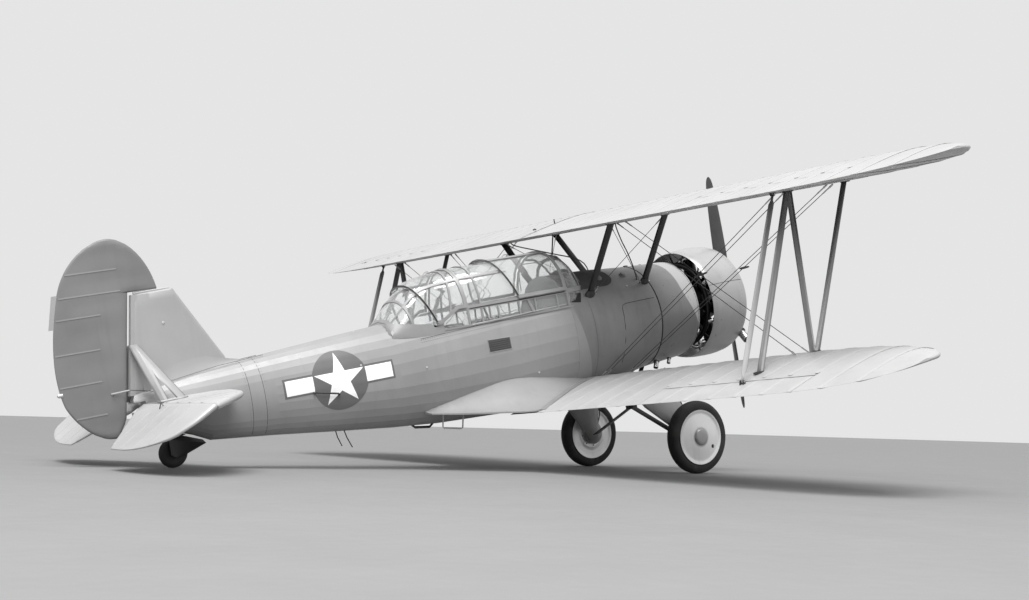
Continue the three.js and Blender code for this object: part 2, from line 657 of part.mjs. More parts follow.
let finSolid;
const rake = Math.atan2(hingeTop.x - hingeFoot.x, hingeTop.y - hingeFoot.y);
const rudderLens = lens([[420, 8], [180, 30], [30, 56], [-60, 58], [-300, 34], [-660, 8]], 'z')
  .rotate([0, THREE.MathUtils.radToDeg(rake), 0]).translate([hingeFoot.x, 0, hingeFoot.y]);
{
  const finShape = new THREE.Shape();
  finShape.moveTo(-6120, 200);
  finShape.lineTo(-6165, 280);
  finShape.quadraticCurveTo(-6180, 320, -6570, 1012);
  finShape.lineTo(-6980 + 52, 1000);
  finShape.lineTo(-7128 + 52, 150);
  finShape.lineTo(-7128 + 56, 130);
  finShape.lineTo(-6400, 130);
  const finLens = lens([[1020, 8], [700, 50], [300, 62], [0, 62], [-60, 60]], 'z')
    .rotate([0, THREE.MathUtils.radToDeg(rake), 0]).translate([hingeFoot.x, 0, hingeFoot.y]);
  finSolid = largest(uprightSlab(finShape, 80).intersect(finLens).subtract(noseToTail()));
  piece('fin', finSolid, BODY_GREY);

  const rudderShape = new THREE.Shape();
  rudderShape.moveTo(hingeFoot.x + 14, hingeFoot.y + 10);
  rudderShape.lineTo(-7240, -192);
  rudderShape.bezierCurveTo(-7380, -215, -7560, -50, -7640, 150);
  rudderShape.bezierCurveTo(-7700, 400, -7670, 700, -7550, 1093);
  rudderShape.bezierCurveTo(-7470, 1330, -7250, 1505, -7071, 1505);
  rudderShape.bezierCurveTo(-6900, 1500, -6740, 1300, -6700, 1040);
  rudderShape.lineTo(-6700, 1024);
  rudderShape.lineTo(-6962, 1024);
  const tab = uprightSlab(new THREE.Shape([[-7560, 800], [-7665, 800], [-7598, 1080], [-7490, 1080]]
    .map(([x, z]) => new THREE.Vector2(x, z))), 5);
  piece('rudder', uprightSlab(rudderShape, 90).intersect(rudderLens).add(tab), RUDDER_GREY);
}

{
  const stabLens = lens([[-6200, 8], [-6420, 52], [-6700, 66], [-6990, 56], [-7100, 50]], 'y');
  const elevatorLens = lens([[34, 40], [20, 52], [-100, 50], [-320, 30], [-580, 8]], 'y');
  for (const [name, side] of SIDES) {
    const stab = new THREE.Shape();
    stab.moveTo(-6240, side * 60);
    stab.lineTo(-6270, side * 260);
    stab.lineTo(-6400, side * 800);
    stab.quadraticCurveTo(-6440, side * 960, -6560, side * 1120);
    stab.lineTo(ELEVATOR_HINGE.x + 36, side * 1735);
    stab.lineTo(ELEVATOR_HINGE.x + 36, side * 60);
    const tailplane = largest(levelSlab(stab, 90).intersect(stabLens)
      .translate([0, 0, ELEVATOR_HINGE.z]).subtract(noseToTail()));
    piece(`tailplane_${name}`, tailplane, WING_SILVER);

    const blade = new THREE.Shape();
    blade.moveTo(26, side * 100);
    blade.lineTo(-70, side * 100);
    blade.lineTo(-536, side * 576);
    blade.lineTo(-536, side * 830);
    blade.bezierCurveTo(-530, side * 1180, -450, side * 1440, -373, side * 1614);
    blade.bezierCurveTo(-290, side * 1740, -150, side * 1755, 26, side * 1745);
    const elevator = levelSlab(blade, 90).intersect(elevatorLens);
    const place = new THREE.Matrix4().makeTranslation(ELEVATOR_HINGE.x, 0, ELEVATOR_HINGE.z)
      .multiply(new THREE.Matrix4().makeRotationY(-ELEVATOR_DROOP));
    piece(`elevator_${name}`, placed(elevator, place), WING_SILVER);

    const braceTop = at(-7000, side * 24, 572);
    const feet = [at(-6790, side * 470, 50), at(-6950, side * 470, 50)];
    const hinge = { x: ELEVATOR_HINGE.x, z: ELEVATOR_HINGE.z };
    const turningRoom = union([
      rod(at(hingeFoot.x, 0, hingeFoot.y), at(hingeTop.x, 0, hingeTop.y), 44, 24),
      rod(at(hinge.x, side * 60, hinge.z), at(hinge.x, side * 1760, hinge.z), 48, 24),
    ]);
    const brace = union([
      ...feet.map((foot) => strut(foot, braceTop, 82, 26)),
      strut(at(-6872, side * 470, 60), at(-6872, side * 466, 80), 250, 26),
    ]).subtract(finSolid.translate([0, side * BRACE_GAP, 0]))
      .subtract(tailplane.translate([0, 0, BRACE_GAP]))
      .subtract(turningRoom);
    piece(`tailplane_braces_${name}`, largest(brace), WING_SILVER);
  }
}

// Tail wheel
{
  const centre = at(TAIL_WHEEL.x, 0, TAIL_WHEEL.z);
  const half = TAIL_WHEEL.width / 2;
  const wheel = turnedAlongX([
    [-half + 6, 14], [-half + 6, 60], [-half, 92], [-16, 126], [0, TAIL_WHEEL.radius],
    [16, 126], [half, 92], [half - 6, 60], [half - 6, 14], [-half + 6, 14],
  ], 32);
  piece('tail_wheel', wheel.rotate([0, 0, 90]).translate(centre.toArray()), RUBBER);
  const cheekOutline = [[-36, 128], [-36, -10], [0, -38], [100, -30], [290, 30], [262, 66], [60, 150]];
  const cheeks = [-1, 1].map((side) => loft([42, 54].map((y) =>
    cheekOutline.map(([x, z]) => at(centre.x + x, side * y, centre.z + z)))));
  const bridge = box([centre.x + 20, -48, centre.z + 138], [centre.x + 120, 48, centre.z + 152])
    .add(box([centre.x + 150, -48, centre.z - 10], [centre.x + 164, 48, centre.z + 90]));
  const post = rod(at(centre.x + 80, 0, centre.z + 145), at(centre.x + 80, 0, centre.z + 185), 24, 16);
  const axle = rod(at(centre.x, -47, centre.z), at(centre.x, 47, centre.z), 12, 16);
  const fork = union([...cheeks, bridge, post, axle]).subtract(lowered(noseToTail(), -20));
  piece('tail_wheel_fork', largest(fork), DARK_METAL);
}

// Engine, cowl ring and propeller
{
  const ring = [
    [RING.rear, 598], [RING.rear + 6, 603], [-600, 622], [-430, 628], [-290, 614], [-225, 588],
    [RING.front, 560], [-225, 545], [-290, 550], [-430, 590], [-600, 606], [RING.rear + 6, 592],
  ];
  piece('cowl_ring', turnedAlongX([...ring, ring[0]], 56, RING.centreZ), NOSE_GREY);

  const crankcase = turnedAlongX([
    [DRUM.front + GAP, 0], [DRUM.front + GAP, 330], [-800, 300], [-760, 215], [-300, 215],
    [-250, 170], [-150, 110], [-118, 70], [-118, 0],
  ], 28, RING.centreZ);
  const cylinders = [];
  for (let i = 0; i < 7; i++) {
    const lean = (i / 7) * 2 * Math.PI;
    const out = (r, x) => at(x, Math.sin(lean) * r, RING.centreZ + Math.cos(lean) * r);
    cylinders.push(rod(out(190, -470), out(430, -470), 78, 14));
    cylinders.push(rod(out(425, -470), out(540, -470), 92, 14, 60));
    cylinders.push(rod(out(500, -520), out(520, -330), 26, 8));
    cylinders.push(rod(out(470, -500), out(598, -600), 9, 6));
  }
  piece('engine', union([crankcase, ...cylinders]), DARK_METAL);

  const hub = turnedAlongX([
    [-112, 0], [-112, 62], [-60, 92], [96, 92], [128, 60], [140, 44], [140, 0],
  ], 20);
  const blades = [0, Math.PI].map((turn) => propellerBlade().rotate([THREE.MathUtils.radToDeg(turn), 0, 0]));
  piece('propeller', union([hub, ...blades]), BLADE);
}

// One blade, upright from the hub: r, chord, thickness, pitch in degrees
function propellerBlade() {
  const rows = [
    [60, 92, 80, 45], [180, 118, 62, 42], [380, 152, 40, 36], [600, 152, 30, 30], [850, 142, 22, 25],
    [1080, 122, 16, 22], [1270, 90, 11, 20], [1350, 58, 8, 19], [PROPELLER.radius, 16, 5, 18],
  ];
  return loft(rows.map(([r, chord, thick, pitch]) => Array.from({ length: 12 }, (unused, i) => {
    const turn = (i / 12) * 2 * Math.PI;
    const [u, v] = [Math.cos(turn) * chord / 2, Math.sin(turn) * thick / 2];
    const p = deg(pitch);
    return at(PROPELLER.x + u * Math.sin(p) + v * Math.cos(p), v * Math.sin(p) - u * Math.cos(p), r);
  })));
}

// Landing gear
for (const [name, side] of SIDES) {
  const hub = at(WHEEL.x, side * WHEEL.y, WHEEL.z);
  const legFoot = at(WHEEL.x - 10, side * (WHEEL.y - 96), WHEEL.z);
  const leg = loft([
    STRUT_OUTLINE.map(([u, v]) => at(-1880 + u * 640, side * 600 + v * 110, -640)),
    STRUT_OUTLINE.map(([u, v]) => at(-1790 + u * 480, side * 690 + v * 96, -960)),
    STRUT_OUTLINE.map(([u, v]) => at(legFoot.x - 20 + u * 230, legFoot.y + v * 70, WHEEL.z + 70)),
    STRUT_OUTLINE.map(([u, v]) => at(legFoot.x + u * 150, legFoot.y + v * 60, WHEEL.z - 60)),
  ]);
  const onAxle = (shift) => at(hub.x, side * (WHEEL.y + shift), hub.z);
  const brake = rod(onAxle(-92), onAxle(-62), 118, 28);
  const axle = rod(onAxle(-100), onAxle(40), 22, 16);
  const wing = lowerSolids[name];
  const solid = union([leg, brake, axle]).subtract(noseToTail())
    .subtract(lowered(wing, -GAP)).subtract(wing.translate([2 * GAP, 0, 0]));
  piece(`gear_leg_${name}`, largest(solid), WING_SILVER);

  const half = WHEEL.tyreWidth / 2;
  const tyre = turnedAlongX([
    [-44, 262], [-58, 300], [-half, 330], [-52, 362], [-24, 377], [0, WHEEL.radius],
    [24, 377], [52, 362], [half, 330], [58, 300], [44, 262], [-44, 262],
  ], 44);
  piece(`tyre_${name}`, tyre.rotate([0, 0, 90 * side]).translate(hub.toArray()), RUBBER);
  const disc = turnedAlongX([
    [-52, 24], [-52, 150], [-40, 200], [-40, 262 - GAP], [48, 262 - GAP], [56, 245], [66, 80],
    [84, 66], [92, 40], [92, 0], [52, 0], [52, 24], [-52, 24],
  ], 44);
  piece(`wheel_disc_${name}`, disc.rotate([0, 0, side > 0 ? 90 : -90]).translate(hub.toArray()), BARE_METAL);
}
{
  const apex = at(-1640, 0, -1010);
  const arms = SIDES.map(([, side]) => strut(
    at(apex.x, side * -20, apex.z - 10), at(WHEEL.x - 40, side * 742, WHEEL.z + 4), 80, 60));
  const posts = [[260, 6], [-320, -6]].map(([ahead, y]) => strut(
    apex, at(apex.x + ahead, y, -600), 60, 40));
  const block = box([apex.x - 40, -50, apex.z - 40], [apex.x + 40, 50, apex.z + 30]);
  const solid = union([...arms, ...posts, block]);
  piece('gear_brace', largest(solid.subtract(noseToTail())), STRUT_GREY);
}

// Parked attitude and origin

const airframe = new THREE.Group();
for (const mesh of pieces) airframe.add(mesh);
airframe.rotation.y = -PARKED_NOSE_UP;
const aircraft = new THREE.Group();
aircraft.add(airframe);
aircraft.updateMatrixWorld(true);
const reach = new THREE.Box3().setFromObject(aircraft, true);
aircraft.position.set(-(reach.min.x + reach.max.x) / 2, -(reach.min.y + reach.max.y) / 2, -reach.min.z);

export default aircraft;
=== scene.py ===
# %% [markdown]
# # A two-seat biplane trainer, dressed over its solids
#
# The solids carry the joints and the true sizes. This lesson dresses them: it puts finer skins
# over the plain ones, paints every surface, and adds the wires, seams and fittings.
# It starts by loading the solids and noting the box that they fill.

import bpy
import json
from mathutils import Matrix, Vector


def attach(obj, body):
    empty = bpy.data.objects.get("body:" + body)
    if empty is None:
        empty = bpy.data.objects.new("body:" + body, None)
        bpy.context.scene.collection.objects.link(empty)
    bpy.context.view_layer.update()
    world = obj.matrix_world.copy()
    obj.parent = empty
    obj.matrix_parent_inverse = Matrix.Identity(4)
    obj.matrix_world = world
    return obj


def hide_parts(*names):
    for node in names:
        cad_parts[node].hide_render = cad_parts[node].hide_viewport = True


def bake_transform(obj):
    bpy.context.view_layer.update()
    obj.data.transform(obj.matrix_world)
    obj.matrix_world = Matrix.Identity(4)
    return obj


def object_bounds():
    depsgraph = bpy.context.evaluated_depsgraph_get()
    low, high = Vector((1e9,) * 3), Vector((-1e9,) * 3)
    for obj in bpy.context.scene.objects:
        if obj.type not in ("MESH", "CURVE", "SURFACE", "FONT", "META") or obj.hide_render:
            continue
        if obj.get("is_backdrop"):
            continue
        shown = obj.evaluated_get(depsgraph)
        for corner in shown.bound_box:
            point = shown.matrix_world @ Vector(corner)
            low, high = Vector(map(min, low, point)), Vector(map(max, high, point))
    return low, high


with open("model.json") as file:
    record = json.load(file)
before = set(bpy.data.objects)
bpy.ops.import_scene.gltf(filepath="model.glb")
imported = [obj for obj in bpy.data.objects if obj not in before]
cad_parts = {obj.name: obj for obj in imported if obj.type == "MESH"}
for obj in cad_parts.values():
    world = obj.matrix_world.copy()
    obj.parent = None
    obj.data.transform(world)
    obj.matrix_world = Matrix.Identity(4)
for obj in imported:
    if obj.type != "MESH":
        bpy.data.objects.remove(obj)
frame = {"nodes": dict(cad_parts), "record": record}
cad_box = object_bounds()
print("solids:", len(frame["nodes"]), "box", [tuple(round(v, 3) for v in corner) for corner in cad_box])

# %% [markdown]
# ## The level frame
#
# The aircraft is parked nose up, so nothing on it is square to the floor. Every piece is drawn
# in the airframe's own level frame, with the propeller hub as its origin, X along the thrust
# line, Y to port and Z up, and one matrix turns it into the parked attitude at the end.
# Drawing tilted pieces directly would make each number hard to check.

# %% The level frame
import json
import math

import bmesh
import bpy
from mathutils import Matrix, Vector
from mathutils.bvhtree import BVHTree
from mathutils.geometry import delaunay_2d_cdt

NOSE_UP = math.radians(12.985)
HUB = Vector((3.64323, 0.0, 2.06524))
LEVEL = Matrix.Translation(HUB) @ Matrix.Rotation(-NOSE_UP, 4, "Y")
PORT, STARBOARD = 1, -1
SIDES = (("port", PORT), ("starboard", STARBOARD))
tau = 2 * math.pi
print("parked nose up by", round(math.degrees(NOSE_UP), 2), "degrees")

# %% [markdown]
# ## The camera
#
# It stands behind the tail on the starboard side, a little lower than the canopy. Its place,
# turn and lens come from matching known points of the aircraft, so a piece that fits the
# solids also lies right in the picture.

# %% The camera
CAMERA_PLACE = Vector((-6.67996, -10.786, 0.446))
YAW, PITCH, ROLL = (math.radians(a) for a in (55.886, 5.676, 1.561))
FOCAL_PIXELS = 1256.646
PICTURE_WIDTH, PICTURE_HEIGHT = 1029, 600
LENS_CENTRE = (510.793, 300.789)

ahead = Vector((math.cos(YAW) * math.cos(PITCH), math.sin(YAW) * math.cos(PITCH), math.sin(PITCH)))
level_right = Vector((math.sin(YAW), -math.cos(YAW), 0))
level_up = level_right.cross(ahead)
right = level_right * math.cos(ROLL) + level_up * math.sin(ROLL)
up = level_up * math.cos(ROLL) - level_right * math.sin(ROLL)
turned = Matrix((right, up, -ahead)).transposed().to_4x4()

camera_data = bpy.data.cameras.new("camera")
camera_data.sensor_width = 36
camera_data.lens = FOCAL_PIXELS * 36 / PICTURE_WIDTH
camera_data.shift_x = 0.5 - LENS_CENTRE[0] / PICTURE_WIDTH
camera_data.shift_y = (LENS_CENTRE[1] - PICTURE_HEIGHT / 2) / PICTURE_WIDTH
camera_data.clip_end = 300
camera = bpy.data.objects.new("camera", camera_data)
camera.matrix_world = Matrix.Translation(CAMERA_PLACE) @ turned
bpy.context.scene.collection.objects.link(camera)
bpy.context.scene.camera = camera
print("lens", round(camera_data.lens, 1), "mm")

# %% [markdown]
# ## Floor and light
#
# A plain pale floor, and soft light: a high, wide one with even rays, so that the floor stays
# even out to its edge and the underside is left in shade as an open sky does, and a broad lamp
# high on the camera's side that lifts the flanks.

# %% Floor and light
def emit(name, kind, place, target, size, power):
    data = bpy.data.lights.new(name, kind)
    if kind == "SUN":
        data.angle = size
    else:
        data.shape = "DISK"
        data.size = size
    data.energy = power
    lamp = bpy.data.objects.new(name, data)
    lamp.location = place
    lamp.rotation_euler = (Vector(target) - Vector(place)).to_track_quat("-Z", "Y").to_euler()
    bpy.context.scene.collection.objects.link(lamp)


emit("high_light", "SUN", (-3.0, -4.0, 13.0), (0, 0, 0), math.radians(34), 3.5)
emit("side_lamp", "AREA", (-7.0, -10.0, 8.5), (0, 0, 1.4), 6.0, 800)

world = bpy.data.worlds.new("studio")
bpy.context.scene.world = world
world.use_nodes = True
backdrop = world.node_tree.nodes["Background"]
backdrop.inputs["Color"].default_value = (0.80, 0.80, 0.80, 1)
backdrop.inputs["Strength"].default_value = 0.98
bpy.context.scene.view_settings.view_transform = "Standard"

# %% [markdown]
# ## Materials
#
# Each finish is a small tree of nodes. All patterns are measured in the level frame: the
# coordinates go through one Mapping node that undoes the parked attitude, so a paint edge runs
# square to the airframe and not to the floor.
#
# A painted surface outdoors is never one colour. Large soft blotches vary the shade, small
# grain breaks the gloss, and streaks of dirt run down from the top. `paint` does this for any
# finish, and hands it back so that a special finish can add its own marks.

# %% Material helpers
def fill(tree, made, inputs):
    """Sockets filled by values, or linked from other nodes' sockets."""
    for key, value in inputs.items():
        if isinstance(value, bpy.types.NodeSocket):
            tree.links.new(value, made.inputs[key])
        else:
            made.inputs[key].default_value = value


def put(tree, kind, inputs=None, **settings):
    made = tree.nodes.new(kind)
    for key, value in settings.items():
        setattr(made, key, value)
    fill(tree, made, inputs or {})
    return made


def grey(value, warm=0.0):
    return (value * (1 + warm), value, value * (1 - warm), 1)


class Finish:
    """A material under way: its tree, its shader and the level-frame coordinates."""

    def __init__(self, name, roughness, metallic=0.0):
        self.material = bpy.data.materials.new(name)
        self.material.use_nodes = True
        self.tree = self.material.node_tree
        self.set({"Metallic": metallic, "Roughness": roughness})
        place = put(self.tree, "ShaderNodeTexCoord").outputs["Object"]
        values = {"Vector": place, "Location": HUB, "Rotation": (0, -NOSE_UP, 0)}
        self.level = put(self.tree, "ShaderNodeMapping", values, vector_type="TEXTURE").outputs["Vector"]
        self.x, self.y, self.z = put(self.tree, "ShaderNodeSeparateXYZ", {0: self.level}).outputs

    def set(self, inputs):
        fill(self.tree, self.tree.nodes["Principled BSDF"], inputs)

    def maths(self, operation, a, b=0.0):
        return put(self.tree, "ShaderNodeMath", {0: a, 1: b}, operation=operation).outputs[0]

    def noise(self, scale, detail=3.0, roughness=0.55, vector=None):
        values = {"Vector": vector or self.level, "Scale": scale, "Detail": detail, "Roughness": roughness}
        return put(self.tree, "ShaderNodeTexNoise", values).outputs["Fac"]

    def spread(self, value, low, high, to_low=0.0, to_high=1.0, how="LINEAR"):
        values = {"Value": value, "From Min": low, "From Max": high, "To Min": to_low, "To Max": to_high}
        return put(self.tree, "ShaderNodeMapRange", values, interpolation_type=how).outputs["Result"]

    def blend(self, share, first, second):
        return put(self.tree, "ShaderNodeMix", {0: share, 6: first, 7: second}, data_type="RGBA").outputs[2]

    def bump(self, height, strength, distance, under=None):
        values = {"Height": height, "Strength": strength, "Distance": distance}
        if under is not None:
            values["Normal"] = under
        normal = put(self.tree, "ShaderNodeBump", values).outputs["Normal"]
        self.set({"Normal": normal})
        return normal

    def mark(self, share, first, second):
        """Covers the colour where share says, and stays open for more marks."""
        self.shade = self.blend(share, first, second)
        self.set({"Base Color": self.shade})


def paint(name, colour, roughness, metallic, blotch, grain, bump, dirt):
    """Weathered paint."""
    def tint(share):
        return tuple(min(1, c * share) for c in colour[:3]) + (1,)
    f = Finish(name, roughness, metallic)
    shade = f.blend(f.spread(f.noise(1.7, 4.0), 0.3, 0.7), tint(1 - blotch), tint(1 + blotch))
    down = put(f.tree, "ShaderNodeMapping", {"Vector": f.level, "Scale": (9.0, 9.0, 0.9)}).outputs[0]
    f.mark(f.spread(f.noise(1.0, 5.0, 0.65, down), 0.52, 0.78, 0.0, dirt), shade, tint(0.55))
    gloss = f.spread(f.noise(11.0), 0.2, 0.8, max(0.02, roughness - 0.08), roughness + 0.1)
    f.set({"Roughness": gloss})
    f.normal = f.bump(f.noise(grain, 2.0), bump, 0.002)
    return f


# %% [markdown]
# ### The finishes of this aircraft
#
# The photograph is black and white, so every finish is a grey. One table holds them all: the
# cloth is painted silver, the body's sheet metal is mid grey, and the nose is darker.

# %% Table of finishes
FINISHES = {name: paint(name, grey(shade, warm), *look) for name, shade, warm, *look in (
    # name, shade, warm tint, roughness, metallic, blotches, grain, bump, dirt
    ("wing_dope", 0.43, 0, 0.42, 0.15, 0.07, 40, 0.03, 0.14),
    ("tape_dope", 0.46, 0, 0.4, 0.15, 0.05, 60, 0.04, 0.1),
    ("rudder_dope", 0.175, 0, 0.5, 0.05, 0.1, 40, 0.04, 0.22),
    ("ridge_dope", 0.26, 0, 0.45, 0.1, 0.06, 60, 0.04, 0.15),
    ("body_paint", 0.285, 0, 0.38, 0.1, 0.07, 90, 0.05, 0.18),
    ("nose_paint", 0.215, 0, 0.34, 0.15, 0.14, 60, 0.05, 0.4),
    ("drum_paint", 0.18, 0, 0.32, 0.15, 0.14, 60, 0.05, 0.4),
    ("ring_paint", 0.39, 0, 0.33, 0.2, 0.12, 60, 0.05, 0.3),
    ("fairing_paint", 0.26, 0, 0.55, 0, 0.07, 90, 0.04, 0.2),
    ("fin_paint", 0.34, 0, 0.42, 0.1, 0.06, 90, 0.05, 0.15),
    ("light_strut_paint", 0.46, 0, 0.4, 0.15, 0.08, 120, 0.05, 0.3),
    ("grey_strut_paint", 0.31, 0, 0.4, 0.15, 0.08, 120, 0.05, 0.3),
    ("dark_strut_paint", 0.032, 0, 0.4, 0.1, 0.15, 120, 0.05, 0.2),
    ("canopy_frame_paint", 0.27, 0, 0.38, 0.15, 0.06, 120, 0.04, 0.15),
    ("seat_paint", 0.1, 0.02, 0.5, 0.4, 0.15, 90, 0.08, 0.3),
    ("belt_webbing", 0.3, 0.04, 0.85, 0, 0.1, 500, 0.25, 0.2),
    ("panel_black", 0.02, 0, 0.6, 0, 0.2, 300, 0.15, 0.1),
    ("dial_face", 0.05, 0, 0.25, 0, 0.1, 300, 0.02, 0),
    ("dark_line", 0.012, 0, 0.7, 0, 0.2, 200, 0.1, 0),
    ("pale_line", 0.5, 0, 0.35, 0.3, 0.1, 200, 0.05, 0.1),
    ("marking_white", 0.92, 0, 0.4, 0, 0.04, 90, 0.03, 0.12),
    ("marking_dark", 0.125, 0, 0.42, 0, 0.1, 90, 0.03, 0.15),
    ("glare_black", 0.05, 0, 0.7, 0, 0.15, 120, 0.08, 0.25),
    ("rivet_grey", 0.2, 0, 0.35, 0.4, 0.1, 200, 0.04, 0.15),
    ("strip_grey", 0.22, 0, 0.6, 0.05, 0.1, 120, 0.06, 0.25),
    ("slot_grey", 0.065, 0, 0.7, 0, 0.2, 200, 0.1, 0),
    ("engine_metal", 0.045, 0, 0.42, 1, 0.1, 160, 0.08, 0.5),
    ("engine_grey", 0.055, 0, 0.45, 0.3, 0.15, 160, 0.06, 0.3),
    ("blade_metal", 0.095, 0, 0.36, 0.35, 0.12, 40, 0.05, 0.3),
    ("bright_steel", 0.55, 0, 0.28, 1, 0.1, 200, 0.08, 0.2),
    ("cable_steel", 0.1, 0, 0.4, 1, 0.1, 400, 0.08, 0.2),
    ("fork_steel", 0.05, 0, 0.45, 0.5, 0.15, 150, 0.1, 0.4),
    ("disc_metal", 0.8, 0, 0.36, 0.45, 0.08, 90, 0.03, 0.35),
    ("tyre_rubber", 0.02, 0, 0.78, 0, 0.25, 220, 0.25, 0),
    ("floor_finish", 0.2, 0, 0.9, 0, 0.03, 30, 0.03, 0),
)}

# %% [markdown]
# Some need marks of their own. The cloth has a weave. Hand-beaten sheet is never quite even, and
# two slanting edges part the nose's shades; the drum's paler front band widens towards the top,
# which is partly a painted highlight from above. The struts are darker towards their upper ends:
# this is painted shade, where the upper wing shades them. A wheel disc is turned metal with fine
# rings round its axle and a dark hub, and the tyres are dusty.
#
# The glazing is clear plastic, a little scratched: its faint grain is in the gloss.

# %% Marks and glazing
BODY_SHADE, BAND_SHADE, HUB_SHADE = grey(0.285), grey(0.42), grey(0.36)
WHEEL = Vector((-1.585, 0.922, -1.363))

f = FINISHES["wing_dope"]
weave = put(f.tree, "ShaderNodeTexWave", {"Vector": f.level, "Scale": 150.0}, bands_direction="Y")
f.bump(weave.outputs["Fac"], 0.05, 0.001, f.normal)
for name in ("nose_paint", "ring_paint", "drum_paint"):
    f = FINISHES[name]
    f.bump(f.noise(4.5, 1.0), 0.3, 0.012, f.normal)

EDGE_TOP, EDGE_BOTTOM = (-2.58, 0.23), (-2.42, -0.49)      # x and z of the body's slanting edge
f = FINISHES["nose_paint"]
slope = (EDGE_TOP[0] - EDGE_BOTTOM[0]) / (EDGE_TOP[1] - EDGE_BOTTOM[1])
edge = f.maths("ADD", f.maths("MULTIPLY", f.z, slope), EDGE_TOP[0] - slope * EDGE_TOP[1])
f.mark(f.spread(f.maths("SUBTRACT", edge, f.x), -0.002, 0.002), f.shade, BODY_SHADE)
# Partly painted highlight: the drum's front band is paler, and it widens towards the top and is gone at the
# bottom, as light from above falls on it.
f = FINISHES["drum_paint"]
edge = f.spread(f.z, -0.38, 0.22, -0.9, -1.095, "SMOOTHSTEP")
f.mark(f.spread(f.maths("SUBTRACT", f.x, edge), -0.006, 0.006), f.shade, BAND_SHADE)
# Painted shade: the struts grow darker towards their upper ends, where the upper wing shades them.
f = FINISHES["light_strut_paint"]
f.mark(f.spread(f.z, -0.3, 0.7), f.shade, grey(0.1))
f = FINISHES["tyre_rubber"]
f.mark(f.spread(f.noise(6.0, 5.0), 0.5, 0.8, 0.0, 0.5), f.shade, grey(0.09, 0.03))

f = FINISHES["disc_metal"]
squares = [f.maths("POWER", f.maths("SUBTRACT", here, centre), 2.0)
           for here, centre in ((f.x, WHEEL.x), (f.z, WHEEL.z))]
radius = f.maths("SQRT", f.maths("ADD", *squares))
f.bump(f.maths("SINE", f.maths("MULTIPLY", radius, 900.0)), 0.04, 0.001, f.normal)
f.mark(f.spread(radius, 0.084, 0.112), HUB_SHADE, f.shade)

f = FINISHES["clear_glazing"] = Finish("clear_glazing", 0.05)
f.set({"Base Color": (0.97, 0.98, 0.98, 1), "Transmission Weight": 0.93, "IOR": 1.06,
       "Coat Weight": 1.0, "Coat Roughness": 0.06})
f.set({"Roughness": f.spread(f.noise(24.0, 6.0, 0.7), 0.45, 0.75, 0.02, 0.16)})
print("finishes:", len(bpy.data.materials))

# %% The floor
FLOOR_REACH = 150.0
floor_mesh = bpy.data.meshes.new("studio_floor")
corners = ((-1, -1), (1, -1), (1, 1), (-1, 1))
floor_mesh.from_pydata([(x * FLOOR_REACH, y * FLOOR_REACH, 0) for x, y in corners], [], [(0, 1, 2, 3)])
floor = bpy.data.objects.new("studio_floor", floor_mesh)
floor_mesh.materials.append(FINISHES["floor_finish"].material)
bpy.context.scene.collection.objects.link(floor)
floor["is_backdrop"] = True

# %% [markdown]
# ## Building forms in code
#
# Most pieces are lofts: rings of points that are skinned one after the other. `Form` gathers
# such skins for one piece, and its `make` turns them into an object: it merges doubled points,
# turns every face outwards, keeps edges sharper than a given angle crisp, parks it with the
# level-frame matrix, and says what it rides on and which solid it stands for.

# %% Skins
def at(x, y, z):
    return Vector((x, y, z))


def to_side(points, side):
    return [at(x, side * y, z) for x, y, z in points]


def between(a, b, count):
    """Even steps from a to b, both ends included."""
    return [a + (b - a) * k / (count - 1) for k in range(count)]


def loft(rings):
    """A closed skin over rings of points, all with the same number of points."""
    count, faces = len(rings[0]), []
    for r in range(len(rings) - 1):
        for i in range(count):
            a, b = r * count + i, r * count + (i + 1) % count
            faces.append((a, b, b + count, a + count))
    last = (len(rings) - 1) * count
    faces += [tuple(reversed(range(count))), tuple(range(last, last + count))]
    return [p for ring in rings for p in ring], faces


def frame_along(direction):
    """Two directions square to a third."""
    direction = Vector(direction).normalized()
    helper = at(0, 0, 1) if abs(direction.z) < 0.9 else at(1, 0, 0)
    side = direction.cross(helper).normalized()
    return side, direction.cross(side).normalized()


def circle(side, other, sides):
    """Unit spokes round an axis."""
    turns = (tau * k / sides for k in range(sides))
    return [side * math.cos(turn) + other * math.sin(turn) for turn in turns]


def tube(path, radius, sides=8):
    """A round bar along a path. The radius is one number or one for each point."""
    path = [Vector(p) for p in path]
    radii = radius if isinstance(radius, (list, tuple)) else [radius] * len(path)
    rings = []
    side = frame_along(path[1] - path[0])[0]
    for i, (point, r) in enumerate(zip(path, radii)):
        along = (path[min(i + 1, len(path) - 1)] - path[max(i - 1, 0)]).normalized()
        side = (side - along * side.dot(along)).normalized()
        rings.append([point + spoke * r for spoke in circle(side, along.cross(side), sides)])
    return loft(rings)


def lathe(profile, centre, axis, sides=48):
    """Pairs of (distance along the axis, radius), turned about the axis. Ends close on it."""
    centre, axis = Vector(centre), Vector(axis).normalized()
    spokes = circle(*frame_along(axis), sides)
    return loft([[centre + axis * along + spoke * max(r, 1e-6) for spoke in spokes] for along, r in profile])


def sweep_rows(rows, steps):
    """Rows of numbers, filled in smoothly between the given ones."""
    out = []
    for i in range(len(rows) - 1):
        before, a = rows[max(i - 1, 0)], rows[i]
        b, after = rows[i + 1], rows[min(i + 2, len(rows) - 1)]
        for t in (s / steps for s in range(steps)):
            out.append([0.5 * (2 * q + (r - p) * t + (2 * p - 5 * q + 4 * r - w) * t * t
                               + (3 * q - p - 3 * r + w) * t ** 3)
                        for p, q, r, w in zip(before, a, b, after)])
    return out + [list(rows[-1])]


# %% Forms
AIRFRAME = "airframe"


def finish_mesh(mesh, finishes, sharp):
    for name in finishes.split():
        mesh.materials.append(FINISHES[name].material)
    mesh.shade_smooth()
    mesh.set_sharp_from_angle(angle=math.radians(sharp))
    return mesh


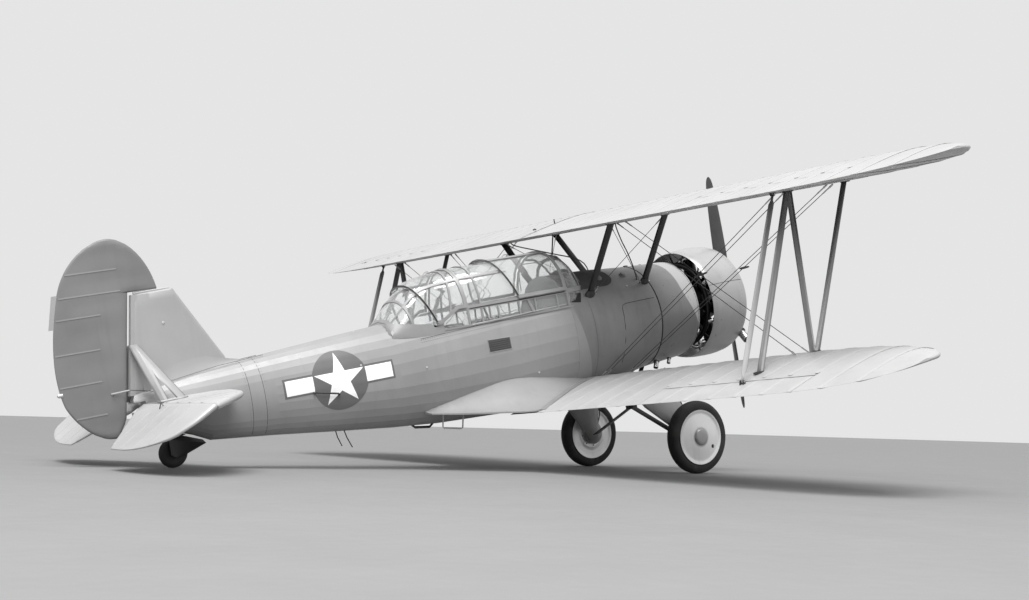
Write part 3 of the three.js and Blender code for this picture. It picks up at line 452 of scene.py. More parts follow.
def show(name, mesh, body, stands_for=()):
    made = bpy.data.objects.new(name, mesh)
    bpy.context.scene.collection.objects.link(made)
    if body:
        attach(made, body)
    if stands_for:
        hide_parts(*stands_for)
    print(f"{name}: {len(mesh.polygons)} faces on {body}")
    return made


def cleaned(mesh, doubles, outwards=False):
    work = bmesh.new()
    work.from_mesh(mesh)
    bmesh.ops.remove_doubles(work, verts=work.verts, dist=doubles)
    if outwards:
        bmesh.ops.recalc_face_normals(work, faces=work.faces)
    work.to_mesh(mesh)
    work.free()
    return mesh


class Form:
    """Points and faces of one piece, in the level frame, in metres."""

    def __init__(self):
        self.points, self.faces, self.marks = [], [], []

    def add(self, skin, mark=0):
        """mark says which of the piece's finishes the skin gets."""
        start = len(self.points)
        self.points.extend(Vector(p) for p in skin[0])
        self.faces.extend(tuple(start + i for i in face) for face in skin[1])
        self.marks.extend([mark] * len(skin[1]))
        return self

    def bar(self, path, radius, sides=8, mark=0):
        return self.add(tube(path, radius, sides), mark)

    def hose(self, path, radius, sides=8, mark=0):
        """A bar along a path that is filled in smoothly first."""
        return self.bar(sweep_rows([tuple(p) for p in path], 4), radius, sides, mark)

    def turned(self, profile, centre, axis, sides=48, mark=0):
        return self.add(lathe(profile, centre, axis, sides), mark)

    def make(self, name, finishes, slot, body=AIRFRAME, sharp=40, stands_for=()):
        mesh = bpy.data.meshes.new(name)
        mesh.from_pydata([tuple(p) for p in self.points], [], self.faces)
        mesh.polygons.foreach_set("material_index", self.marks)
        cleaned(mesh, 1e-5, True).transform(LEVEL)
        return show(name, finish_mesh(mesh, finishes, sharp), body, stands_for)


# %% [markdown]
# ### Keeping a solid's own shape
#
# Where the solid is already right, its mesh is copied, its loose triangles are merged, and
# only its shading and finish change. The copy stands for the solid.

# %% Copies of solids
NODES = frame["nodes"]
BODY_OF = {node: body for body, nodes in frame["record"]["behaviour"]["bodies"].items() for node in nodes}


def dressed(node, finish, slot, sharp):
    mesh = NODES[node].data.copy()
    mesh.materials.clear()
    cleaned(mesh, 2e-5).polygons.foreach_set("material_index", [0] * len(mesh.polygons))
    return show(node + "_skin", finish_mesh(mesh, finish, sharp), BODY_OF[node], (node,))


def level_tree(*nodes, skins=()):
    """A search tree over solids and finished skins, in the level frame, for laying things on."""
    points, faces = [], []
    to_level = LEVEL.inverted()
    for mesh in [NODES[node].data for node in nodes] + [skin.data for skin in skins]:
        start = len(points)
        points.extend(to_level @ v.co for v in mesh.vertices)
        faces.extend(tuple(start + i for i in p.vertices) for p in mesh.polygons)
    return BVHTree.FromPolygons(points, faces)


# %% [markdown]
# ## The body
#
# Behind the cockpit the body is covered over stringers, and shows long flat bands in steps of
# shade. The solids have just these bands: 32 flats round each section. Copies keep them, with
# every lengthwise edge sharp and the joints along the length smooth.
#
# The nose is round sheet metal. It is lofted again with many more points from the same table
# of sections, with a shallow groove at a panel joint.

# %% Body sections
FUSELAGE = [  # x, half width, top z, bottom z, power of the curve
    (-0.908, 0.541, 0.49, -0.592, 2), (-1.48, 0.556, 0.51, -0.625, 2),
    (-2, 0.535, 0.545, -0.705, 2.05), (-2.6, 0.5, 0.56, -0.752, 2.1),
    (-3.3, 0.462, 0.525, -0.765, 2.15), (-4.12, 0.412, 0.43, -0.705, 2.2),
    (-4.64, 0.372, 0.362, -0.642, 2.2), (-5.2, 0.318, 0.332, -0.56, 2.15),
    (-5.85, 0.246, 0.29, -0.46, 2.1), (-6.45, 0.172, 0.242, -0.378, 2.1),
    (-6.6, 0.148, 0.225, -0.3, 2), (-6.9, 0.098, 0.18, -0.185, 2), (-7.08, 0.062, 0.15, -0.11, 2),
]
BODY_SIDES = 120
GROOVE = ((0.004, 0.0), (0.0025, -0.004), (-0.0025, -0.004), (-0.004, 0.0))
CLEAR_OF_GROOVE = 0.012


def section_at(x):
    i = 1
    while i < len(FUSELAGE) - 1 and FUSELAGE[i][0] > x:
        i += 1
    a, b = FUSELAGE[i - 1], FUSELAGE[i]
    share = (a[0] - x) / (a[0] - b[0])
    return [p + (q - p) * share for p, q in zip(a[1:], b[1:])]


def body_point(x, turn, lift=0.0):
    """A point of the body's skin: turn is 0 to port, a quarter turn at the top."""
    width, top, bottom, power = section_at(x)
    c, s = (math.copysign(abs(part) ** (2 / power), part) for part in (math.cos(turn), math.sin(turn)))
    return at(x, (width + lift) * c, (top + bottom) / 2 + ((top - bottom) / 2 + lift) * s)


def skin_between(front, rear, grooves=(), step=0.06):
    """Stations and lifts from front to rear, with a narrow groove at each panel joint."""
    inner = between(front, rear, max(2, round((front - rear) / step)) + 1)[1:-1]
    rows = [(front, 0.0), (rear, 0.0)]
    rows += [(x, 0.0) for x in inner if all(abs(x - g) > CLEAR_OF_GROOVE for g in grooves)]
    return sorted(rows + [(g + along, lift) for g in grooves for along, lift in GROOVE], reverse=True)


# %% Nose drum, tank bay and banded rear body
nose_skins = []
for name, node, finish, rows in (
        ("nose_drum", "nose_cowling", "drum_paint",
         [(-0.9095, -0.006), (-0.911, -0.0015)] + skin_between(-0.914, -1.4735) + [(-1.479, -0.008)]),
        ("tank_bay", "forward_fuselage", "nose_paint",
         [(-1.481, -0.008), (-1.486, 0.0)] + skin_between(-1.495, -2.5996, [-2.36]))):
    rings = [[body_point(x, tau * k / BODY_SIDES, lift) for k in range(BODY_SIDES)] for x, lift in rows]
    nose_skins.append(Form().add(loft(rings)).make(name, finish, "nose_paint", sharp=30, stands_for=(node,)))

BANDED = ("cockpit_side_port", "cockpit_side_starboard", "cockpit_floor", "rear_fuselage", "tail_cone")
for node in BANDED:
    dressed(node, "body_paint", "body_paint", 5)
fuselage_tree = level_tree(*BANDED, skins=nose_skins)
sill_tree = level_tree("canopy_fixed_frame", *BANDED, skins=nose_skins)

# %% [markdown]
# ## The wings
#
# Cloth is stretched over ribs and sags a little between them, which gives the wings their
# scalloped look. A shape that follows a rule is best made by the rule: each station has the
# true section, and the cloth sinks between two ribs by a few millimetres, except over the
# stiff nose. The ailerons work in a bay with a round cove along the hinge line.

# %% Wing sections
CHORD, HALF_SPAN = 1.418, 5.03
THICKNESS, TAIL_LIFT = 0.1185, 0.014
TIP_AT, NOSE_FROM, TAIL_FROM = 0.655, 3.38, 4.19
NOSE_BEND, TAIL_BEND, TIP_LIFT = 2.0, 2.1, 0.067
AILERON_INNER, AILERON_OUTER, HINGE = 2.36, 4.16, 0.775
RIB_PITCH, SAG = 0.295, 0.0055
MOVING_GAP = 0.007
UPPER_WING = (-1.351, 0.998, math.radians(1.35), 0.0)      # nose x, bottom z, incidence, dihedral
LOWER_WING = (-2.068, -0.735, math.radians(2.08), math.radians(3.0))
SHARES = (0, 0.003, 0.01, 0.022, 0.04, 0.065, 0.1, 0.14, 0.19, 0.25, 0.32, 0.4, 0.48, 0.56, 0.64,
          0.71, 0.775, 0.84, 0.9, 0.95, 1.0)
TIP_STATIONS = (0.6, 0.7, 0.78, 0.85, 0.9, 0.94, 0.97, 0.987, 0.996)


def wing_skin(share):
    """Heights of the lower and upper skin, as shares of the chord."""
    x = min(max(share, 0.0), 1.0)
    bulge = 0.2969 * math.sqrt(x) - 0.126 * x - 0.3516 * x ** 2 + 0.2843 * x ** 3 - 0.1036 * x ** 4
    lower = 0.035 * math.exp(-x / 0.035) + TAIL_LIFT * max(0.0, (x - 0.55) / 0.45) ** 2
    return lower, lower + 10 * THICKNESS * bulge + 0.002


def wing_edge(y):
    """Nose x, tail x and lift of the section at y."""
    def shrink(start, bend):
        outboard = min(1.0, max(0.0, (abs(y) - start) / (HALF_SPAN - start)))
        return (1 - outboard ** bend) ** (1 / bend)
    nose = -CHORD * TIP_AT * (1 - shrink(NOSE_FROM, NOSE_BEND))
    tail = -CHORD * (TIP_AT + (1 - TIP_AT) * shrink(TAIL_FROM, TAIL_BEND))
    return nose, tail, (CHORD - (nose - tail)) * TIP_LIFT


def cloth_sag(y, share):
    over_nose = min(1.0, max(0.0, (share - 0.08) / 0.14))
    near_tail = 1 - 0.65 * max(0.0, (share - 0.6) / 0.4)
    return SAG * math.sin(math.pi * abs(y) / RIB_PITCH) ** 2 * over_nose * near_tail


def skin_point(y, share, upper):
    nose, tail, lift = wing_edge(y)
    chord = nose - tail
    low, high = wing_skin(share)
    sink = cloth_sag(y, share) * min(1.0, chord / CHORD)
    return at(nose - share * chord, y, lift + (high * chord - sink if upper else low * chord + sink))


HINGE_X, HINGE_Z = -HINGE * CHORD, sum(wing_skin(HINGE)) / 2 * CHORD
COVE, NOSE_ROUND = 0.0475, 0.0392


def arc(y, radius, start, end):
    turns = [math.radians(degrees) for degrees in between(start, end, 9)]
    return [at(HINGE_X + radius * math.cos(a), y, HINGE_Z + radius * math.sin(a)) for a in turns]


def skin_row(y, shares, upper):
    return [skin_point(y, s, upper) for s in shares]


def full_ring(y):
    return skin_row(y, SHARES, True) + skin_row(y, SHARES[:0:-1], False)


def bay_ring(y):
    """The wing ahead of an aileron, with the round cove that the aileron's nose turns in."""
    kept = [s for s in SHARES if s < 0.74]
    return skin_row(y, kept, True) + arc(y, COVE, 57, -57) + skin_row(y, kept[:0:-1], False)


def aileron_ring(y):
    kept = [s for s in SHARES if s >= HINGE]
    return skin_row(y, kept, True) + skin_row(y, kept[::-1], False) + arc(y, NOSE_ROUND, -90, 90)[1:-1]


def multiples(pitch, low, high):
    return [k * pitch for k in range(math.ceil(low / pitch), math.floor(high / pitch) + 1)]


def stations(low, high):
    """From low to high: four steps to a rib, and close ones where the tip curves in."""
    inside, curved = multiples(RIB_PITCH / 4, low, high), HALF_SPAN - NOSE_FROM
    if high > HALF_SPAN - 0.01:
        tip = [NOSE_FROM + s * curved for s in TIP_STATIONS]
        return [low] + [y for y in inside if y < NOSE_FROM + 0.55 * curved] + [y for y in tip if y > low]
    return sorted({round(y, 5) for y in [low] + inside + [high]})


def wing_place(wing, side):
    nose_x, bottom_z, incidence, dihedral = wing
    return (Matrix.Translation((nose_x, 0, bottom_z)) @ Matrix.Rotation(dihedral * side, 4, "X")
            @ Matrix.Rotation(-incidence, 4, "Y"))


def span_skin(ring, low, high, wing, side):
    matrix = wing_place(wing, side)
    return loft([[matrix @ p for p in to_side(ring(y), side)] for y in stations(low, high)])


def half_wing(form, wing, side, inner):
    for ring, low, high in ((full_ring, inner, AILERON_INNER), (bay_ring, AILERON_INNER, AILERON_OUTER),
                            (full_ring, AILERON_OUTER, HALF_SPAN)):
        form.add(span_skin(ring, low, high, wing, side))


def on_wing(wing, share, y, upper, side, lift=0.0):
    """A point on a wing's skin, in the level frame."""
    low, high = wing_skin(share)
    z = high * CHORD + lift if upper else low * CHORD - lift
    return wing_place(wing, side) @ at(-share * CHORD, y * side, z)


# %% Upper wing
cloth = Form()
for _, side in SIDES:
    half_wing(cloth, UPPER_WING, side, 0.0)
cloth.make("upper_wing_cloth", "wing_dope", "wing_dope", stands_for=("upper_wing",))

# %% [markdown]
# ### Lower wings and their root fairings
#
# Each lower wing meets the body in a sheet-metal fairing, which runs on behind the wing to a
# point. Its six sections are filled in smoothly, and its face is hollow where it turns from
# the wing up onto the body.

# %% Lower wings
FAIRING = [  # x, outer y, bottom z, rim z, height up the body
    (-2.5, 0.47, -0.64, -0.6, -0.54), (-3, 0.64, -0.69, -0.612, -0.43),
    (-3.44, 0.83, -0.712, -0.696, -0.36), (-3.8, 0.66, -0.668, -0.652, -0.4),
    (-4.15, 0.51, -0.61, -0.596, -0.46), (-4.4, 0.4, -0.56, -0.548, -0.52),
]
FACE_HOLLOW = 2.3


def half_width(x, z):
    width, top, bottom, power = section_at(x)
    rise = min(1.0, abs((z - (top + bottom) / 2) / ((top - bottom) / 2)))
    return width * (1 - rise ** power) ** (1 / power)


def fairing_ring(row, side):
    x, outer, bottom, rim, top = row
    inner = max(0.06, half_width(x, top) - 0.03)
    face = [(x, outer + (inner - outer) * t, rim + (top - rim) * t ** FACE_HOLLOW) for t in between(0, 1, 9)]
    return to_side([(x, inner, bottom), (x, outer, bottom)] + face, side)


for name, side in SIDES:
    node, cloth = "lower_wing_" + name, Form()
    half_wing(cloth, LOWER_WING, side, 0.36)
    cloth.add(loft([fairing_ring(row, side) for row in sweep_rows(FAIRING, 6)]), 1)
    cloth.make(node + "_cloth", "wing_dope fairing_paint", "wing_dope", stands_for=(node,))

# %% Ailerons
LINK_Y, LUG_Y, LUG_HALF = 3.4, 0.0185, 0.0025
LINKS = {  # wing, how far the link's eye lies behind the hinge, its lift, which way the lugs' feet are
    "upper": (UPPER_WING, 0.098, -0.014, 1),
    "lower": (LOWER_WING, 0.05, 0.02, -1),
}
LUG = ((0.021, 0.034), (0.01, -0.008), (0, -0.012), (-0.01, -0.008), (-0.021, 0.034))
AILERON_ENDS = AILERON_INNER + MOVING_GAP, AILERON_OUTER - MOVING_GAP
EYES = {}
for wing_name, (wing, behind, lift, up) in LINKS.items():
    for name, side in SIDES:
        node = f"{wing_name}_aileron_{name}"
        cloth = Form().add(span_skin(aileron_ring, *AILERON_ENDS, wing, side))
        eye = on_wing(wing, HINGE + behind / CHORD, LINK_Y, wing is LOWER_WING, side) + at(0, 0, lift)
        EYES[node] = eye
        for y in (-LUG_Y, LUG_Y):
            faces = (y - LUG_HALF, y + LUG_HALF)
            cloth.add(loft([[eye + at(x, face, up * z) for x, z in LUG] for face in faces]), 1)
        cloth.make(node + "_cloth", "wing_dope cable_steel", "wing_dope", node, stands_for=(node,))

# %% [markdown]
# ## The tail
#
# Fin, rudder, tailplane and elevators are flat outlines padded to a streamlined section. One
# rule makes them all: a grid of stations across the outline, each point as thick as the
# section says, and rounded off towards the nearest edge. A point's distance from the outline
# gives that rounding, so tips, corners and the balance horn come out soft by themselves.

# %% Padded outlines
def curve(*controls, steps=12):
    """Points of a Bezier curve through its first and last control, without the first."""
    out = []
    for k in range(1, steps + 1):
        row, t = [Vector(c) for c in controls], k / steps
        while len(row) > 1:
            row = [a + (b - a) * t for a, b in zip(row, row[1:])]
        out.append(tuple(row[0]))
    return out


def drawn(*parts, steps=12):
    """An outline of corners, and of lists of controls that curve on from the point before."""
    out = []
    for part in parts:
        out += curve(out[-1], *part, steps=steps) if isinstance(part, list) else [part]
    return out


def edges_of(outline):
    return zip(outline, outline[1:] + outline[:1])


def crossings(outline, s):
    xs = [x0 + (x1 - x0) * (s - s0) / (s1 - s0)
          for (s0, x0), (s1, x1) in edges_of(outline) if (s0 - s) * (s1 - s) < 0]
    return min(xs), max(xs)


def edge_distance(outline, s, x):
    best, p = 9.0, Vector((s, x))
    for a, b in edges_of(outline):
        a, b = Vector(a), Vector(b)
        run = b - a
        t = min(1.0, max(0.0, (p - a).dot(run) / max(run.length_squared, 1e-12)))
        best = min(best, (p - a - run * t).length)
    return best


def table_value(rows, x):
    """Straight lines between rows of (x, value), x falling."""
    if x >= rows[0][0]:
        return rows[0][1]
    for (a, va), (b, vb) in zip(rows, rows[1:]):
        if x >= b:
            return va + (vb - va) * (x - a) / (b - a)
    return rows[-1][1]


def padded_outline(outline, ss, thickness, place, sag=None, steps=22):
    """outline holds (s, x) pairs; place turns (s, x, t) into a point of the level frame."""
    rings = []
    for s in ss:
        low, high = crossings(outline, s)
        row = []
        for k in range(steps + 1):
            x = high - (high - low) * (1 - math.cos(math.pi * k / steps)) / 2
            half = thickness(s, x) / 2
            inside = min(1.0, edge_distance(outline, s, x) / max(half, 0.004))
            height = half * math.sqrt(max(0.0, 1 - (1 - inside) ** 2))
            share = (high - x) / max(high - low, 1e-6)
            row.append((x, height - (sag(s, share) if sag and height > 0.01 else 0.0)))
        rings.append([place(s, x, h) for x, h in row] + [place(s, x, -h) for x, h in row[-2:0:-1]])
    return loft(rings)


def spaced(low, high, step, ends=0.02):
    """Even stations, with closer ones near both ends."""
    near = [0.0005, 0.002, 0.005, 0.011, ends]
    middle = between(low + ends, high - ends, max(2, round((high - low - 2 * ends) / step)) + 1)[1:-1]
    return [low + d for d in near] + middle + [high - d for d in reversed(near)]


def scallop(share, depth, along):
    """How far the cloth sinks between two ribs, at a share of the chord."""
    return depth * math.sin(math.pi * along) ** 2 * math.sin(math.pi * min(1, max(0, share))) ** 0.5


# %% Rudder and fin
HINGE_TOP, HINGE_FOOT = at(-6.98, 0, 0.995), at(-7.166, 0, -0.067)
hinge_line = (HINGE_TOP - HINGE_FOOT).normalized()
RUDDER_THICKNESS = [(0.42, 0.008), (0.18, 0.03), (0.03, 0.056), (-0.06, 0.058), (-0.3, 0.034),
                    (-0.66, 0.008)]
FIN_THICKNESS = [(1.02, 0.008), (0.7, 0.05), (0.3, 0.062), (0.0, 0.062), (-0.06, 0.06)]
RUDDER_RIBS = [-0.19, 0.03, 0.31, 0.58, 0.87, 1.05, 1.24, 1.5]
HORN_STATIONS = {1.018, 1.0232, 1.0236, 1.0239, 1.0245, 1.029, 1.036}    # close ones at the horn's step
HALF_SPAR, HALF_TAB = 0.029, 0.0025


def on_hinge(z):
    return HINGE_FOOT + (HINGE_TOP - HINGE_FOOT) * ((z - HINGE_FOOT.z) / (HINGE_TOP.z - HINGE_FOOT.z))


def upright(rows):
    """Thickness of an upright surface at (z, x), from its distance ahead of the hinge line."""
    return lambda z, x: table_value(rows, x - on_hinge(z).x)


def rudder_sag(z, share):
    for low, high in zip(RUDDER_RIBS, RUDDER_RIBS[1:]):
        if low <= z <= high:
            return scallop(share, 0.004, (z - low) / (high - low))
    return 0.0


def stand(z, x, t):
    return at(x, t, z)


rudder_outline = drawn(
    (-0.057, -7.152), (-0.192, -7.24), [(-0.215, -7.38), (-0.05, -7.56), (0.15, -7.64)],
    [(0.4, -7.7), (0.7, -7.67), (1.093, -7.55)], [(1.33, -7.47), (1.505, -7.25), (1.505, -7.071)],
    [(1.5, -6.9), (1.3, -6.74), (1.04, -6.7)], (1.024, -6.7), (1.0235, -6.962))
heights = [s for s, x in rudder_outline]
rudder = Form().add(padded_outline(
    rudder_outline, sorted(set(spaced(min(heights), max(heights), 0.045)) | HORN_STATIONS),
    upright(RUDDER_THICKNESS), stand, rudder_sag))
tab = [(-7.56, 0.8), (-7.665, 0.8), (-7.598, 1.08), (-7.49, 1.08)]
rudder.add(loft([[at(x, y, z) for x, z in tab] for y in (-HALF_TAB, HALF_TAB)]), 1)
rudder.make("rudder_cloth", "rudder_dope fin_paint", "rudder_dope", "rudder", stands_for=("rudder",))

fin_outline = drawn((0.13, -6.4), (0.2, -6.12), (0.28, -6.165), [(0.32, -6.18), (1.012, -6.57)],
                    (1, -6.928), (0.15, -7.076), (0.13, -7.072), steps=16)
fin = Form().add(padded_outline(fin_outline, spaced(0.131, 1.0115, 0.06), upright(FIN_THICKNESS), stand))
spar = ((0.085, -HALF_SPAR), (0.037, -HALF_SPAR), (0.037, HALF_SPAR), (0.085, HALF_SPAR))
fin.add(loft([[on_hinge(z) + at(x, y, 0) for x, y in spar] for z in (0.14, 0.998)]))
fin.make("fin_sheet", "fin_paint", "body_paint", stands_for=("fin",))

# %% Tailplane and elevators
ELEVATOR_X, ELEVATOR_Z, DROOP, TAIL_RIB = -7.019, 0.035, math.radians(28), 0.27
droop = Matrix.Translation((ELEVATOR_X, 0, ELEVATOR_Z)) @ Matrix.Rotation(-DROOP, 4, "Y")
raised = Matrix.Translation((0, 0, ELEVATOR_Z))
TAIL_SURFACES = {  # node: body, outline, thicknesses, where it stands
    "tailplane": (AIRFRAME, drawn(
        (0.06, -6.24), (0.26, -6.27), (0.8, -6.4), [(0.96, -6.44), (1.12, -6.56)],
        (1.735, ELEVATOR_X + 0.036), (0.06, ELEVATOR_X + 0.0361), steps=10),
        [(-6.2, 0.008), (-6.42, 0.052), (-6.7, 0.066), (-6.99, 0.056), (-7.1, 0.05)], raised),
    "elevator": ("elevator", drawn(
        (0.1, 0.026), (0.1, -0.07), (0.576, -0.536), (0.83, -0.536),
        [(1.18, -0.53), (1.44, -0.45), (1.614, -0.373)], [(1.74, -0.29), (1.755, -0.15), (1.745, 0.026)]),
        [(0.034, 0.04), (0.02, 0.052), (-0.1, 0.05), (-0.32, 0.03), (-0.58, 0.008)], droop),
}


def lie(matrix, side):
    return lambda y, x, t: matrix @ at(x, side * y, t)


for name, side in SIDES:
    for kind, (body, outline, thick, matrix) in TAIL_SURFACES.items():
        ends, node = [s for s, x in outline], f"{kind}_{name}"
        skin = padded_outline(
            outline, spaced(min(ends), max(ends), TAIL_RIB / 4), lambda y, x: table_value(thick, x),
            lie(matrix, side), lambda y, share: scallop(share, 0.003, y / TAIL_RIB))
        Form().add(skin).make(node + "_cloth", "wing_dope", "wing_dope", body, stands_for=(node,))

# %% [markdown]
# ## Struts, gear and canopy
#
# The struts are streamlined tubes and the canopy is a cage of bent strips: both are right in
# the solids, so they are copies with smooth shading.

# %% Struts, legs and canopy
COPIES = (  # solids, with * for both sides, their finish, slot and sharpest smooth angle
    ("interplane_struts_* aileron_link_*", "light_strut_paint", "light_strut_paint", 50),
    ("tailplane_braces_*", "grey_strut_paint", "light_strut_paint", 50),
    ("gear_leg_*", "grey_strut_paint", "light_strut_paint", 40),
    ("cabane_front_* cabane_rear_* gear_brace", "dark_strut_paint", "dark_strut_paint", 50),
    ("canopy_fixed_frame front_hood_frame rear_hood_frame", "canopy_frame_paint", "canopy_frame_paint", 30),
    ("canopy_fixed_glass front_hood_glass rear_hood_glass", "clear_glazing", "clear_glazing", 30),
    ("front_seat rear_seat", "seat_paint", "seat_paint", 30),
    ("front_instrument_panel rear_instrument_panel", "panel_black", "panel_black", 30),
    ("tail_wheel_fork", "fork_steel", "fork_steel", 35),
)
for nodes, *look in COPIES:
    for node in nodes.split():
        for full_name in sorted({node.replace("*", name) for name, _ in SIDES}):
            dressed(full_name, *look)

# %% [markdown]
# ## Wheels
#
# A tyre is turned about its axle: a fat round shoulder, three shallow grooves and a bead that
# sits in the rim. The disc beside it is spun sheet with a raised rim line and a domed hub cap.

# %% Wheels
def both_ways(half, *middle):
    """A profile that is the same on both sides of its middle."""
    return half + list(middle) + [(-along, r) for along, r in reversed(half)]


TYRE = both_ways([(-0.044, 0.262), (-0.053, 0.272), (-0.0595, 0.292), (-0.0635, 0.318), (-0.0625, 0.34),
                  (-0.056, 0.359), (-0.045, 0.3705), (-0.034, 0.3765), (-0.0305, 0.3735), (-0.0275, 0.3778),
                  (-0.014, 0.3803), (-0.0025, 0.381)], (0, 0.3775))
TAIL_TYRE = both_ways([(-0.025, 0.014), (-0.025, 0.06), (-0.029, 0.074), (-0.031, 0.092), (-0.028, 0.108),
                       (-0.02, 0.121), (-0.01, 0.1275)], (0, 0.13))
RIM = [(0.04, 0.2615), (0.054, 0.2625), (0.0575, 0.272), (0.0615, 0.2845), (0.0645, 0.284), (0.0635, 0.278),
       (0.06, 0.268), (0.0565, 0.261), (0.0535, 0.256)]
DISC = [(-0.05, 0), (-0.05, 0.148), (-0.0555, 0.151), (-0.056, 0.16), (-0.051, 0.168), (-0.0505, 0.2),
        (-0.053, 0.238)] + [(-y, r) for y, r in reversed(RIM)] + RIM + [
            (0.054, 0.238), (0.06, 0.18), (0.065, 0.13), (0.067, 0.1), (0.0665, 0.087),
            (0.08, 0.084), (0.088, 0.074), (0.0905, 0.055), (0.0918, 0.03), (0.092, 0)]
TAIL_WHEEL = at(-6.8, 0, -0.418)

for name, side in SIDES:
    hub, out, body = to_side([WHEEL], side)[0], at(0, side, 0), "wheel_" + name
    tyre, disc = Form().turned(TYRE, hub, out, 96), Form().turned(DISC, hub, out, 96)
    tyre.make(f"tyre_{name}_rubber", "tyre_rubber", "tyre_rubber", body, 50, ("tyre_" + name,))
    disc.make(f"wheel_disc_{name}_spun", "disc_metal", "disc_metal", body, 40, ("wheel_disc_" + name,))
tail_tyre = Form().turned(TAIL_TYRE, TAIL_WHEEL, (0, 1, 0))
tail_tyre.make("tail_wheel_rubber", "tyre_rubber", "tyre_rubber", "tail_wheel", 50, ("tail_wheel",))

# %% [markdown]
# ## Ring, engine and propeller
#
# The ring is a turned aerofoil section. Through its gap shows a radial engine with seven
# finned cylinders.

# %% Cowl ring
RING_CENTRE, AHEAD = at(0, 0, -0.03), at(1, 0, 0)
RING = [(-0.748, 0.598), (-0.742, 0.603), (-0.67, 0.6135), (-0.6, 0.6215), (-0.51, 0.6268), (-0.43, 0.628),
        (-0.36, 0.6235), (-0.29, 0.6135), (-0.25, 0.602), (-0.225, 0.59), (-0.209, 0.576), (-0.206, 0.565),
        (-0.21, 0.555), (-0.225, 0.5475), (-0.25, 0.546), (-0.29, 0.551), (-0.36, 0.571), (-0.43, 0.588),
        (-0.51, 0.6), (-0.6, 0.6062), (-0.67, 0.601), (-0.742, 0.5925)]
ring_points, ring_faces = lathe(RING + [RING[0]], RING_CENTRE, AHEAD, 128)
ring = Form().add((ring_points, ring_faces[:-2]))
ring.make("cowl_ring_sheet", "ring_paint", "nose_paint", stands_for=("cowl_ring",))

# %% [markdown]
# ## Laying things on a surface
#
# Seams, markings, vents and rivets follow the skin below them. A search tree over the solids
# answers where a straight line meets the skin, so a flat outline can be dropped onto it point
# by point. Its inside is filled with small triangles first, so the sheet can bend.

# %% Dropping points and sheets onto the skin
SHEET_SINK = 0.002


def drop(tree, start, way):
    """Where a straight line first meets the solids, and the direction out of the skin there."""
    place, normal, _, _ = tree.ray_cast(Vector(start), Vector(way))
    if place is None:
        return None, None
    return place, -normal if normal.dot(Vector(way)) > 0 else normal


def below(tree, x, y):
    return drop(tree, (x, y, 2), (0, 0, -1))


def on_side(x, z, side, lift=0.0, tree=sill_tree):
    place, normal = drop(tree, (x, side * 2, z), (0, -side, 0))
    return None if place is None else place + normal * lift


def side_row(start, end, count, side, lift=0.0, tree=sill_tree):
    """Points on the body's side, evenly from one (x, z) pair to another."""
    pairs = zip(between(start[0], end[0], count), between(start[1], end[1], count))
    row = [on_side(x, z, side, lift, tree) for x, z in pairs]
    return [p for p in row if p is not None]


def sill_line(side, lower, lift=0.0):
    """The line that runs under the canopy, climbing slowly forwards."""
    return side_row((-4.35, 0.166 - lower), (-2.636, 0.24 - lower), 29, side, lift)


def body_hoop(x, start, end, count):
    """Points round the body, by their turn in degrees: 0 is level to port, 90 the top."""
    width, top, bottom, power = section_at(x)
    ways = [at(0, math.cos(turn), math.sin(turn)) for turn in map(math.radians, between(start, end, count))]
    return [drop(fuselage_tree, at(x, 0, (top + bottom) / 2) + way * 2, -way)[0] for way in ways]


def inside(outline, u, v):
    found = False
    for (u0, v0), (u1, v1) in edges_of(outline):
        if (v0 > v) != (v1 > v) and u < u0 + (u1 - u0) * (v - v0) / (v1 - v0):
            found = not found
    return found


def grid_lines(values, step):
    low, high = min(values), max(values)
    return [low + i * step for i in range(1, math.ceil((high - low) / step))]


def laid_sheet(outline, place, step, lift=0.0012):
    """A thin closed sheet over a flat outline; place(u, v, lift) puts each point on the skin."""
    rim = []
    for a, b in edges_of(outline):
        a, b = Vector(a), Vector(b)
        count = max(1, math.ceil((b - a).length / step))
        rim += [a + (b - a) * k / count for k in range(count)]
    us, vs = grid_lines([p.x for p in rim], step), grid_lines([p.y for p in rim], step)
    filling = [Vector((u, v)) for u in us for v in vs
               if inside(outline, u, v) and edge_distance(outline, u, v) > 0.4 * step]
    flat, _, triangles, _, _, _ = delaunay_2d_cdt(rim + filling, [], [list(range(len(rim)))], 1, 1e-6)
    count = len(flat)
    points = [place(p.x, p.y, height) for height in (lift, -SHEET_SINK) for p in flat]
    faces, used = [], {}
    for face in triangles:
        faces += [tuple(face), tuple(i + count for i in reversed(face))]
        for a, b in zip(face, face[1:] + face[:1]):
            used[a, b] = True
    faces += [(b, a, a + count, b + count) for a, b in used if (b, a) not in used]
    return points, faces


def mirrored(side):
    return lambda u, v, lift: on_side(u, v, side, lift)


# %% [markdown]
# ## Growing what repeats
#
# Rivets, rib tapes, cooling fins and bolts come in hundreds of like copies. Geometry Nodes
# make them from a guide: a few lines or points that say where they go. Each tree is built here
# with named sizes, so the same tree makes coarse bolts and fine rivets. The result is baked
# into a plain mesh, because the export drops instances and modifiers.

# %% Trees and baking
ONE_POINT = [[(0, 0, 0)]]


def new_tree(name, **sizes):
    tree = bpy.data.node_groups.new(name, "GeometryNodeTree")
    sockets = tree.interface
    sockets.new_socket("Geometry", in_out="INPUT", socket_type="NodeSocketGeometry")
    for label, value in sizes.items():
        kind = "NodeSocketInt" if isinstance(value, int) else "NodeSocketFloat"
        sockets.new_socket(label, in_out="INPUT", socket_type=kind).default_value = value
    sockets.new_socket("Finish", in_out="INPUT", socket_type="NodeSocketMaterial")
    sockets.new_socket("Geometry", in_out="OUTPUT", socket_type="NodeSocketGeometry")
    return tree, tree.nodes.new("NodeGroupInput").outputs


